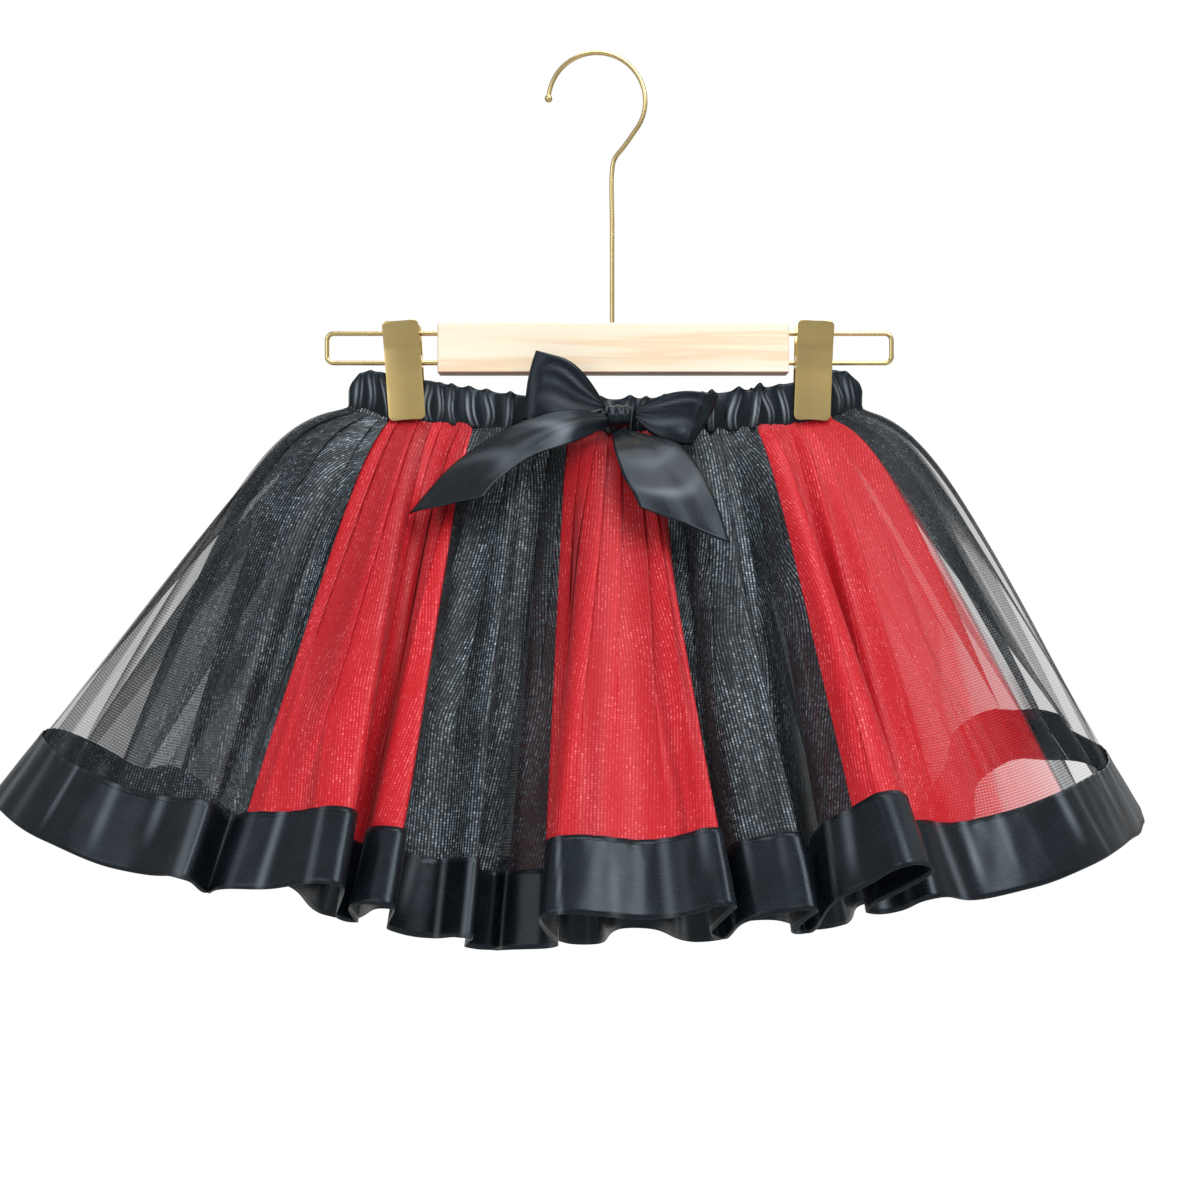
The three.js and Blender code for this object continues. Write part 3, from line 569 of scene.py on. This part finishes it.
def valleys(width, run, level):  # how deep in shade the cloth lies: 1 in a fold's valley, 0 on its crest
    shade = 0 * run * level
    place = draws.uniform(*tulle["valleyStart"])
    while place < width:
        half, deep = draws.uniform(*tulle["valleyHalf"]), draws.uniform(*tulle["valleyDeep"])
        ends, sway = draws.uniform(*tulle["valleyEnds"]), draws.uniform(*tulle["valleySway"])
        away = run - place - sway * np.sin(tulle["valleyBend"] * level)
        # Sharp on one side, where one ply laps over the next.
        side = np.where(away > 0, tulle["valleySharp"], tulle["valleySoft"])
        line = np.exp(-np.abs(away / (half * side)) ** tulle["valleyPower"])
        shade = np.maximum(shade, deep * line * np.clip((ends - level) / tulle["valleyFade"], 0, 1))
        place += draws.uniform(*tulle["valleyPitch"])
    return shade


def singleFolds(count, share, level):  # wedges of cloth folded over, widest at the waist
    extra = 0 * share * level
    for number in range(count):
        middle = (number + draws.uniform(*tulle["foldMiddle"])) / count
        half = draws.uniform(*tulle["foldHalf"]) / count
        ends, sway = draws.uniform(*tulle["foldEnds"]), draws.uniform(*tulle["foldSway"]) / count
        reach = half * np.clip(1 - level / ends, 0, 1) ** tulle["foldTaper"]
        away = np.abs(share - middle - sway * level)
        extra = extra + tulle["foldPlies"] * np.clip((reach - away) / tulle["foldEdge"], 0, 1)
    return extra


def tullePanel(number, name, slot, pliesAt, pleatPitch, opensAt, laps, folds):
    start = cloth["seams"][number] + tulle["inset"] / 2
    width = cloth["seams"][number + 1] - tulle["inset"] / 2 - start
    run = np.linspace(-laps[0], width + laps[1], round((width + sum(laps)) / tulle["columnPitch"]) + 1)
    share = np.clip(run / width, 0, 1)
    beyond = np.maximum(np.maximum(-run, run - width), 0)
    level = tulleFoot * np.linspace(0, 1, tulle["rows"]) ** tulle["rowEase"]
    # Knife pleats: the cloth goes on, back and on again. Each opens out at a level of its own.
    count = max(tulle["fewestPleats"], round(width / pleatPitch))
    edges = np.cumsum(np.append(0, draws.uniform(*tulle["pleatWidth"], count)))
    edges /= edges[-1]
    pleat = np.clip(np.searchsorted(edges, share, "right") - 1, 0, count - 1)
    spread = (edges[1:] - edges[:-1])[pleat]
    wave = np.sin(2 * math.pi * (share - edges[pleat]) / spread)[:, None]
    opens = draws.uniform(*opensAt, count)[pleat][:, None]
    strength = draws.uniform(*tulle["pleatStrength"], count)[pleat][:, None]
    fold = strength * np.clip(1 - level / opens, 0, 1)
    place = start + run[:, None] + tulle["pleatLay"] * (width * spread)[:, None] * wave * fold
    settled = np.clip(level / tulle["settledFrom"], tulle["settledLeast"], 1)
    settled = settled * np.clip((tulleFoot - level) / tulle["settledUntil"], 0, 1)
    lift = tulle["pleatLift"] * wave * fold * settled
    for ripple in tulle["ripples"]:
        phase = draws.uniform(0, 2 * math.pi)
        turn = 2 * math.pi * run[:, None] / ripple
        sway = tulle["rippleSway"] * np.sin(turn / tulle["rippleSwayLong"])
        lift = lift + tulle["rippleLift"] * np.sin(turn + phase + sway) * settled * level
    lift = lift - tulle["lapDepth"] * np.clip(beyond / tulle["lapEase"], 0, 1)[:, None]
    levels = np.broadcast_to(level, place.shape)
    grid = hangingPoint(place, levels) + hangingNormal(place, levels) * lift[..., None]
    grid[:, 0, 2] += tulle["tuck"]
    along = np.cumsum(np.linalg.norm(np.diff(grid, axis=0, prepend=grid[:1]), axis=2), axis=0)
    along = along - along[len(run) // 2]
    cut = np.stack([along + tulle["cutSpacing"] * number, levels * skirt["cutLength"]], axis=2)
    plies = np.interp(share, [at for at, count in pliesAt], [count for at, count in pliesAt])
    packed = 1 + tulle["waistPlies"] * (1 - level) ** tulle["waistPliesFade"]
    plies = plies[:, None] * packed + singleFolds(folds, share[:, None], level)
    valley = valleys(width, run[:, None], level) * (tulle["valleyUnderFolds"] if folds else 1)
    piece = clothPiece("net_" + name, grid, cut, slot, values={"plies": plies, "valley": valley})
    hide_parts("tulle_" + name)
    return piece


for number, (name, (slot, waist, *form)) in enumerate(panels.items()):
    tullePanel(number, name, slot, *form)

# The satin ribbon round the hem.

hemRibbon = {
    "columnPitch": 1.6, "rows": 14, "lift": 1.25, "wall": 0.3, "inset": 0.15, "normalStep": 3,
    "pucker": 0.2, "puckerPitch": 10.5, "puckerSway": 37, "puckerReach": 5,
    "flare": 0.4, "flarePitch": 43, "flareSway": 91,
    "dent": 0.16, "dentPitch": 17, "dentSway": 61, "dentSlant": 15,
    "creasePitch": (9, 30), "creaseHalf": (0.7, 3.0), "creaseShine": (0.02, 0.28), "creaseEnds": (0.5, 1.6),
    "creaseLean": (-4, 4), "creaseFade": 0.4,
    "stitchDrop": 2.2, "stitchLong": 2.3, "stitchPitch": 3.1, "stitchFrom": 2, "stitchTo": 3,
    "threadHalf": 0.14, "threadEnd": 0.35, "threadSides": 5, "threadRise": 0.05,
}


def ribbonPoint(place, level):
    down = (level - ribbonLevel) * skirt["cutLength"]
    pucker = hemRibbon["pucker"] * np.exp(-down / hemRibbon["puckerReach"])
    pucker = pucker * np.sin(
        2 * math.pi * place / hemRibbon["puckerPitch"] + 2 * np.sin(place / hemRibbon["puckerSway"]))
    flare = hemRibbon["flare"] * (down / skirt["ribbonHeight"]) ** 2
    flare = flare * np.sin(
        2 * math.pi * place / hemRibbon["flarePitch"] + 2 * np.sin(place / hemRibbon["flareSway"]))
    dent = hemRibbon["dent"] * np.sin(math.pi * np.clip(down / skirt["ribbonHeight"], 0, 1)) ** 2
    dent = dent * np.sin(
        2 * math.pi * place / hemRibbon["dentPitch"] + 3 * np.sin(place / hemRibbon["dentSway"])
        + down / hemRibbon["dentSlant"])
    lift = hemRibbon["lift"] + pucker + flare + dent
    normal = hangingNormal(place, level, hemRibbon["normalStep"])
    return hangingPoint(place, level) + normal * lift[..., None]


def stitchRow(name, starts, ends, normals, slot):  # each stitch is a short thread, thick in the middle
    sides, thin = hemRibbon["threadSides"], hemRibbon["threadEnd"]
    points, faces = [], []
    for start, end, normal in zip(starts, ends, normals):
        run = end - start
        across = unit(np.cross(run, normal))
        first = len(points)
        for part, swell in ((0.0, thin), (0.5, 1.0), (1.0, thin)):
            for side in range(sides):
                angle = 2 * math.pi * side / sides
                away = across * math.cos(angle) + normal * math.sin(angle)
                points.append(start + run * part + away * swell * hemRibbon["threadHalf"])
        for ring in range(2):
            for side in range(sides):
                a, b = first + ring * sides + side, first + ring * sides + (side + 1) % sides
                faces.append((a, b, b + sides, a + sides))
        faces.append(tuple(range(first + sides - 1, first - 1, -1)))
        faces.append(tuple(range(first + 2 * sides, first + 3 * sides)))
    newPiece(name, points, faces, slot)


# Painted highlights: these bright lines are mixed into the satin's colour, not shaped in the ribbon.
def ribbonCreaseShine(place, level):  # soft upright creases that catch the light, strongest at the sewn edge
    down = (level - ribbonLevel) * skirt["cutLength"] / skirt["ribbonHeight"]
    crest = 0 * place
    at = place.min()
    while at < place.max():
        half, shine = draws.uniform(*hemRibbon["creaseHalf"]), draws.uniform(*hemRibbon["creaseShine"])
        ends, lean = draws.uniform(*hemRibbon["creaseEnds"]), draws.uniform(*hemRibbon["creaseLean"])
        line = shine * np.exp(-((place - at - lean * down) / half) ** 2)
        crest = np.maximum(crest, line * np.clip((ends - down) / hemRibbon["creaseFade"], 0, 1))
        at += draws.uniform(*hemRibbon["creasePitch"])
    return crest


def ribbonLength(name, start, end):
    columns = round((end - start) / hemRibbon["columnPitch"])
    place = np.linspace(start + hemRibbon["inset"], end - hemRibbon["inset"], columns + 1)[:, None]
    level = np.linspace(ribbonLevel, 1, hemRibbon["rows"])[None]
    place, level = np.broadcast_arrays(place, level)
    cut = np.stack([place, level * skirt["cutLength"]], axis=2)
    piece = clothPiece("satin_" + name, ribbonPoint(place, level), cut, "black_satin",
                       wall=hemRibbon["wall"], values={"crest": ribbonCreaseShine(place, level)})
    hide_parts(name)
    sewn = np.arange(start + hemRibbon["stitchFrom"], end - hemRibbon["stitchTo"], hemRibbon["stitchPitch"])
    line = np.full_like(sewn, ribbonLevel + hemRibbon["stitchDrop"] / skirt["cutLength"])
    normals = hangingNormal(sewn, line)
    raised = normals * (hemRibbon["wall"] / 2 + hemRibbon["threadRise"])
    first = ribbonPoint(sewn, line) + raised
    last = ribbonPoint(sewn + hemRibbon["stitchLong"], line) + raised
    stitchRow("stitches_" + name, first, last, normals, "black_satin")


seams = cloth["seams"]
frontPanels = 7  # the ribbon's two lengths meet in the side seams, before and after these panels
ribbonLength("hem_ribbon_front", seams[0], seams[frontPanels])
ribbonLength("hem_ribbon_back", seams[frontPanels], seams[-1])
print("hem ribbon made")

# The gathered waistband.

band = {
    "columnPitch": 0.55, "rows": 18, "wall": 1.2, "puff": 1.0, "puffFull": 5, "spacing": (5.5, 13.0),
    "lift": (1.3, 2.7), "wide": (1.2, 2.8), "fade": (-0.5, 1.0), "sharp": 1.35, "lean": 4.5, "curl": 2.6,
    "curlTurns": 1.5, "sink": 0.8, "edgeRuffle": 0.9, "ruffleTop": 0.3, "pinched": 1.6, "pinchEase": 2,
    "pinchedLeast": 0.15, "shine": (0.75, 1.3), "shineReach": 1.1, "cutFullness": 1.6, "cutTall": 20,
    "shineLines": ((-0.45, 0.26, 1.0), (0.6, 0.16, 0.8)),  # where on a ridge, half width, brightness
}


# Ridges across the band, each leaning and curling its own way, and their shine.
def gatherField(around, height):
    ridge = 0 * around * height
    crest = 0 * ridge
    place = 0.0
    while place < waistGirth:
        lift, wide = draws.uniform(*band["lift"]), draws.uniform(*band["wide"])
        lean, curl = draws.uniform(-band["lean"], band["lean"]), draws.uniform(-band["curl"], band["curl"])
        fade = draws.uniform(*band["fade"])
        line = place + lean * (height - 0.5) + curl * np.sin(math.pi * height * band["curlTurns"])
        away = (around - line + waistGirth / 2) % waistGirth - waistGirth / 2
        strength = np.clip(1 - np.maximum(0, fade) * (1 - height), 0, 1)
        ridge = ridge + lift * strength * np.exp(-np.abs(away / wide) ** band["sharp"])
        shine = draws.uniform(*band["shine"]) * np.sin(math.pi * np.clip(height * band["shineReach"], 0, 1))
        for side, thin, part in band["shineLines"]:
            line = np.exp(-((away - side * wide) / (thin * wide)) ** 2)
            crest = np.maximum(crest, shine * strength * part * line)
        place += draws.uniform(*band["spacing"])
    return ridge - band["sink"], crest


def makeWaistband():
    columns = round(waistGirth / band["columnPitch"])
    turn = np.arange(columns) / columns
    foot, top = waistAt(turn)
    height = np.linspace(1, 0, band["rows"])[None]
    around = (turn * waistGirth)[:, None]
    ridge, crest = gatherField(around, height)
    free = (np.abs(foot[:, 1]) - band["pinched"]) / band["pinchEase"]
    free = np.clip(free, band["pinchedLeast"], 1)[:, None]
    tall = (top - foot[:, 2])[:, None]
    grid = np.repeat(foot[:, None], band["rows"], axis=1)
    rim = np.clip((height - (1 - band["ruffleTop"])) / band["ruffleTop"], 0, 1)
    ruffle = band["edgeRuffle"] * ridge * free * rim ** 2
    grid[..., 2] += height * tall + ruffle
    swell = 4 * height * (1 - height)
    puff = band["puff"] * swell * np.minimum(1, np.abs(foot[:, 1]) / band["puffFull"])[:, None]
    normals = facing(grid, closed=True)
    grid = grid + normals * (free * ridge + puff)[..., None]
    along = np.append(around[:, 0], waistGirth)[:, None]
    down = (1 - height) * band["cutTall"]
    cut = np.stack(np.broadcast_arrays(along * band["cutFullness"], down), axis=2)
    piece = clothPiece("satin_waistband", grid, cut, "black_satin", wall=band["wall"], closed=True,
                       values={"crest": crest})
    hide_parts("waistband")


makeWaistband()
print("waistband made")

# The bow.

bow = {
    "x": 11.5, "y": -17.8, "z": -192, "wall": 0.5, "loopStart": 7.7, "loopLift": 2.5, "loopForward": 4,
    "steps": 96, "rows": 25, "crease": 0.8, "creases": 2.6, "creaseStart": 0.6, "creaseBend": 0.25,
    "creaseTurn": 2.5, "soft": 0.9, "softTurn": 2.2, "softLean": 2.4, "rimAt": 0.86, "rimHalf": 0.05,
    "loopShine": ((0.5, 0.07, 0.22), (-0.35, 0.16, 0.2)), "loopShineReach": 1.1,
    "tailSteps": 48, "tailCrown": 2.0, "tailFold": 0.5, "tailShineBow": 0.5, "tailShineMiddle": 0.6,
    "tailShine": ((0.4, 0.05, 0.14), (0.72, 0.05, 0.26)), "tailShineEdge": 0.05,
}
# Length, lean in degrees, half width, depth, slant, the full width's place, fill, and the ridge at the end.
bowLoops = {
    "bow_loop_left": (48.5, 164, 18, 11, 0.05, 0.7, 1, 0.2),
    "bow_loop_right": (45, -6, 13.6, 12, 0.35, 0.7, 0.8, 0.7),
}
bowTails = {  # each row: one edge of the ribbon, then the other
    "bow_tail_left": [
        ((-94, -46, -243.5), (-56, -62, -236)),
        ((-73, -36, -218.5), (-50, -56, -228)),
        ((-45, -32, -199.5), (-33, -46, -215)),
        ((-18, -29, -190), (-12, -37, -207)),
        ((5.8, -19.8, -191), (6.5, -19.8, -197)),
    ],
    "bow_tail_right": [
        ((17, -20.5, -199.7), (8, -20.5, -199.7)),
        ((42, -33, -208), (9, -39, -211)),
        ((51, -44, -220), (14, -52, -227)),
        ((59, -58, -238), (18, -58, -234)),
        ((65, -69, -259), (21, -63, -241)),
    ],
}


def shineLines(across, lines):  # soft bright lines: where each lies, half its width, and how bright it is
    return np.max([part * np.exp(-((across - at) / half) ** 2) for at, half, part in lines], axis=0)


def bowLoop(name, length, lean, half, depth, slant, fullAt, fill, ridge):
    angle = math.radians(lean)
    side = math.copysign(1, math.cos(angle))
    outward = np.array([math.cos(angle), 0, math.sin(angle)])
    across = np.array([-math.sin(angle), 0, math.cos(angle)]) * side
    start = np.array([bow["x"], bow["y"], bow["z"] + bow["loopLift"]])
    turn = 2 * math.pi * np.arange(bow["steps"]) / bow["steps"]
    spread = (1 - np.cos(turn)) / 2
    reach = blend(bow["loopStart"], length, spread)
    width = blend(1, half, np.sin(np.minimum(1, spread / fullAt) * math.pi / 2) ** fill)
    share = np.linspace(1, -1, bow["rows"])
    middle = start + outward * reach[:, None]
    middle[:, 1] -= side * depth / 2 * np.sin(turn) * np.sqrt(reach / length) + bow["loopForward"] * spread
    height = width[:, None] * share
    slid = (slant * spread[:, None] * height)[..., None]
    grid = middle[:, None] + across * height[..., None] + outward * slid
    # Creases fan out from the knot and fade towards the end of the loop.
    spread = spread[:, None]
    bent = share + bow["creaseBend"] * spread * np.sin(bow["creaseTurn"] * turn[:, None])
    crease = bow["crease"] * spread ** 0.5 * (1 - spread) ** 0.8
    crease = crease * np.cos(bow["creases"] * math.pi * bent + bow["creaseStart"])
    soft = bow["soft"] * spread * np.sin(bow["softTurn"] * turn[:, None] + bow["softLean"] * share)
    rim = ridge * np.exp(-((spread - bow["rimAt"]) / bow["rimHalf"]) ** 2)
    grid = grid + facing(grid, closed=True) * (crease + soft + rim)[..., None]
    around = np.append(np.cumsum(np.linalg.norm(np.diff(middle, axis=0), axis=1)), 0)
    along = np.concatenate([[0], around[:-1], [around[-2] + 2]])[:, None]
    cut = np.stack(np.broadcast_arrays(along, half * share), axis=2)
    shine = shineLines(bent, bow["loopShine"])
    shine = shine * np.sin(math.pi * np.clip(bow["loopShineReach"] * spread, 0, 1))
    piece = clothPiece("satin_" + name, grid, cut, "black_satin", wall=bow["wall"], closed=True,
                       values={"crest": shine})
    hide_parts(name)


def bowTail(name, sections):
    fromEdge = smoothLine([a for a, b in sections])
    toEdge = smoothLine([b for a, b in sections])
    steps = np.linspace(0, 1, bow["tailSteps"])
    share = np.linspace(0, 1, bow["rows"])
    edge, other = fromEdge(steps)[:, None], toEdge(steps)[:, None]
    grid = blend(edge, other, share[None, :, None])
    grid[..., 1] -= bow["tailCrown"] * np.sin(math.pi * share)
    # Two soft rolls run across the tail, each on its own slant.
    rolled = np.sin(5 * steps[:, None] + 5 * share) + 0.8 * np.sin(9 * share + 3 * steps[:, None] + 1)
    grid = grid + facing(grid) * (bow["tailFold"] * rolled * np.sin(math.pi * share) ** 0.5)[..., None]
    long = np.cumsum(np.append(0, np.linalg.norm(np.diff(grid[:, bow["rows"] // 2], axis=0), axis=1)))
    wide = np.linalg.norm(edge - other, axis=2).max()
    cut = np.stack(np.broadcast_arrays(long[:, None], wide * share), axis=2)
    bowed = bow["tailShineBow"] * (share - bow["tailShineMiddle"]) ** 2
    shine = shineLines(steps[:, None] + bowed, bow["tailShine"])
    shine = shine * np.sin(math.pi * np.clip(share, bow["tailShineEdge"], 1 - bow["tailShineEdge"]))
    piece = clothPiece("satin_" + name, grid, cut, "black_satin", wall=bow["wall"],
                       values={"crest": shine})
    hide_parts(name)


# The knot: a length of the ribbon wrapped once round the middle, gathered to its width in upright folds.
knot = {
    "y": -16.6, "deep": 6.3, "tall": 5.9, "half": 6.0, "folds": 2.5, "fold": 0.35, "foldSlant": 0.12,
    "pinch": 0.35, "deepSlack": 0.6, "tallSlack": 0.3, "sway": 0.4, "steps": 64, "rows": 25,
    "ribbonWidth": 38,
}


def bowKnot():
    turn = -2 * math.pi * np.arange(knot["steps"])[:, None] / knot["steps"]
    share = np.linspace(-1, 1, knot["rows"])[None]
    tucked = np.sqrt(1 - knot["pinch"] * share ** 4)
    slanted = share + knot["foldSlant"] * np.sin(turn)
    fold = knot["fold"] * np.cos(2 * math.pi * knot["folds"] * slanted / 2)
    radius = tucked * (1 + fold / knot["tall"])
    grid = np.stack(np.broadcast_arrays(
        bow["x"] + knot["half"] * share + knot["sway"] * np.sin(turn),
        knot["y"] + (knot["deep"] - knot["deepSlack"]) * radius * np.cos(turn),
        bow["z"] + (knot["tall"] - knot["tallSlack"]) * radius * np.sin(turn)), axis=2)
    along = knot["ribbonWidth"] * np.arange(knot["steps"] + 1)[:, None] / knot["steps"]
    cut = np.stack(np.broadcast_arrays(along, knot["ribbonWidth"] / 2 * share), axis=2)
    piece = clothPiece("satin_bow_knot", grid, cut, "black_satin", wall=bow["wall"], closed=True)
    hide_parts("bow_knot")


for name, form in bowLoops.items():
    bowLoop(name, *form)
for name, sections in bowTails.items():
    bowTail(name, sections)
bowKnot()
print("bow made")

# The hanger's bar and wires.

hanger = {
    "wire": 1.25, "wireRound": 5, "bar": (8.5, 0, -154.9), "barSize": (184, 12, 26.6), "barEdge": 1.1,
}
hook = {
    "stem": 8, "inside": 24.2, "tipAngle": 177, "leaveAngle": -36, "tipBall": 2.1, "foot": -152.6,
    "neck": ((14, 0, -48.5), (9.4, 0, -54.5)), "neckFoot": -61, "stemTop": -90, "steps": 60,
}
rail = {
    "centre": 6.5, "span": 297, "top": -146.6, "foot": -162.1, "corner": 3.5, "cornerSteps": 12,
    "socket": 12,
}


def bentWire(name, points, radius):  # a round wire along a line of points
    curve = bpy.data.curves.new(name, "CURVE")
    curve.dimensions = "3D"
    curve.bevel_depth = radius * mm
    curve.bevel_resolution = hanger["wireRound"]
    curve.use_fill_caps = True
    line = curve.splines.new("POLY")
    line.points.add(len(points) - 1)
    line.points.foreach_set("co", np.column_stack([np.array(points) * mm, np.ones(len(points))]).ravel())
    wire = bpy.data.objects.new(name, curve)
    scene.collection.objects.link(wire)
    pick(wire)
    bpy.ops.object.convert(target="MESH")
    wire.data.shade_smooth()
    return wire


def joined(name, pieces):
    bpy.ops.object.select_all(action="DESELECT")
    for piece in pieces:
        piece.select_set(True)
    bpy.context.view_layer.objects.active = pieces[0]
    bpy.ops.object.join()
    pieces[0].name = name
    bpy.ops.object.select_all(action="DESELECT")
    return pieces[0]


def finished(piece, slot, node):
    dress(piece, slot)
    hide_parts(node)


def makeBar():
    bpy.ops.mesh.primitive_cube_add(size=1, location=[c * mm for c in hanger["bar"]])
    bar = bpy.context.object
    bar.name = "wooden_bar"
    bar.scale = [c * mm for c in hanger["barSize"]]
    bpy.ops.object.transform_apply()
    applyModifier(bar, "BEVEL", width=hanger["barEdge"] * mm, segments=4, harden_normals=True)
    finished(bar, "pine", "hanger_bar")


def makeHook():
    radius = hook["inside"] + hanger["wire"]
    turn = np.radians(np.linspace(hook["tipAngle"], hook["leaveAngle"], hook["steps"]))
    bend = np.stack([radius * np.cos(turn), 0 * turn, radius * np.sin(turn) - hook["inside"]], axis=1)
    neck = [*hook["neck"], (hook["stem"], 0, hook["neckFoot"]), (hook["stem"], 0, hook["stemTop"])]
    swan = smoothLine(np.concatenate([bend[-4:], neck]))(np.linspace(0, 1, hook["steps"]))
    wire = bentWire("hook_wire", [*bend[:-4], *swan, (hook["stem"], 0, hook["foot"])], hanger["wire"])
    bpy.ops.mesh.primitive_uv_sphere_add(
        segments=32, ring_count=20, radius=hook["tipBall"] * mm, location=bend[0] * mm)
    ball = bpy.context.object
    bpy.ops.object.transform_apply()
    ball.data.shade_smooth()
    finished(joined("hook_wire", [wire, ball]), "gilt_wire", "hanger_hook")


def makeRail(side, name):
    end = rail["centre"] + side * rail["span"] / 2
    socket = hanger["bar"][0] + side * (hanger["barSize"][0] / 2 - rail["socket"])
    turn = np.radians(np.linspace(90, 0, rail["cornerSteps"]))
    across = end + side * rail["corner"] * (np.cos(turn) - 1)
    above = rail["top"] + rail["corner"] * (np.sin(turn) - 1)
    below = rail["foot"] - rail["corner"] * (np.sin(turn) - 1)
    points = [(socket, 0, rail["top"]), *zip(across, 0 * turn, above)]
    points += [*zip(across[::-1], 0 * turn, below[::-1]), (socket, 0, rail["foot"])]
    finished(bentWire(name + "_wire", points, hanger["wire"]), "gilt_wire", "hanger_" + name)


makeBar()
makeHook()
makeRail(-1, "rail_left")
makeRail(1, "rail_right")
print("bar and wires made")

# The clips.

clip = {
    "width": 19, "above": 21, "below": 30.2, "sheet": 1.0, "corner": 2.4, "crown": 0.5, "edge": 0.3,
    "columns": 15, "rows": 41, "ear": 3.4, "earReach": 5, "earEdge": 0.2, "gap": 0.3,
    "coil": 2.5, "coilWire": 0.55, "coilHalf": 5.4, "coilTurns": 9, "coilSteps": 40, "leg": 9,
    # Height and depth of the middle of the sheet.
    "line": ((-30.2, -4.2), (-4, -4.9), (8, -5.7), (21, -8.5)),
}
clips = {"clip_left": (-101.4, -3.9), "clip_right": (113.7, 1.9)}  # across, lean in degrees


def clipPlate(earPlace):
    middle = (clip["above"] - clip["below"]) / 2
    half = (clip["above"] + clip["below"]) / 2
    # Rows lie closer together near both rounded ends.
    swing = np.sin(np.linspace(math.pi / 2, -math.pi / 2, clip["rows"]))
    height = middle + half * swing
    inset = np.clip(clip["corner"] - half * (1 - np.abs(swing)), 0, None)
    reach = clip["width"] / 2 - clip["corner"] + np.sqrt(clip["corner"] ** 2 - inset ** 2)
    share = np.linspace(-1, 1, clip["columns"])[:, None]
    depth = np.interp(height, *zip(*clip["line"])) - clip["crown"] * (1 - share ** 2)
    grid = np.stack(np.broadcast_arrays(share * reach, depth, height), axis=2)
    rows = clip["rows"]
    quads = [(i * rows + j, i * rows + j + 1, (i + 1) * rows + j + 1, (i + 1) * rows + j)
             for i in range(clip["columns"] - 1) for j in range(rows - 1)]
    plate = newPiece("plate", grid.reshape(-1, 3), quads, "brass_plate")
    applyModifier(plate, "SOLIDIFY", thickness=clip["sheet"] * mm, offset=0, use_even_offset=True)
    applyModifier(plate, "BEVEL", width=clip["edge"] * mm, segments=3, angle_limit=math.radians(50))
    pieces = [plate]
    for side in (-1, 1):
        place = side * (earPlace - clip["sheet"] / 2)
        bpy.ops.mesh.primitive_cylinder_add(
            vertices=40, radius=clip["ear"] * mm, depth=clip["sheet"] * mm, location=(place * mm, 0, 0),
            rotation=(0, math.pi / 2, 0))
        pieces.append(bpy.context.object)
        bpy.ops.mesh.primitive_cube_add(size=1, location=(place * mm, -clip["earReach"] / 2 * mm, 0))
        web = bpy.context.object
        web.scale = (clip["sheet"] * mm, clip["earReach"] * mm, 2 * clip["ear"] * mm)
        pieces.append(web)
    for piece in pieces[1:]:
        pick(piece)
        bpy.ops.object.transform_apply()
        applyModifier(piece, "BEVEL", width=clip["earEdge"] * mm, segments=2)
    return joined("plate", pieces)


def clipSpring():
    turn = np.linspace(0, 2 * math.pi * clip["coilTurns"], clip["coilSteps"] * clip["coilTurns"])
    coil = np.stack([np.linspace(-clip["coilHalf"], clip["coilHalf"], len(turn)),
                     -clip["coil"] * np.cos(turn), clip["coil"] * np.sin(turn)], axis=1)
    lowLeg = (-clip["coilHalf"], -clip["coil"], -clip["leg"])
    highLeg = (clip["coilHalf"], -clip["coil"], clip["leg"])
    return bentWire("spring", [lowLeg, *coil, highLeg], clip["coilWire"])


def placeClip(piece, name, node, slot, across, lean, turned):
    piece.name = name
    piece.location = (across * mm, 0, rail["foot"] * mm)
    piece.rotation_euler = (0, math.radians(-lean), math.pi) if turned else (0, math.radians(lean), 0)
    pick(piece)
    bpy.ops.object.transform_apply()
    finished(piece, slot, node)


for name, (across, lean) in clips.items():
    front, back = clipPlate(clip["width"] / 2), clipPlate(clip["width"] / 2 - clip["sheet"] - clip["gap"])
    placeClip(front, name + "_front_plate", name + "_front", "brass_plate", across, lean, False)
    placeClip(back, name + "_back_plate", name + "_back", "brass_plate", across, lean, True)
    placeClip(clipSpring(), name + "_coil", name + "_spring", "gilt_wire", across, lean, False)
print("clips made")
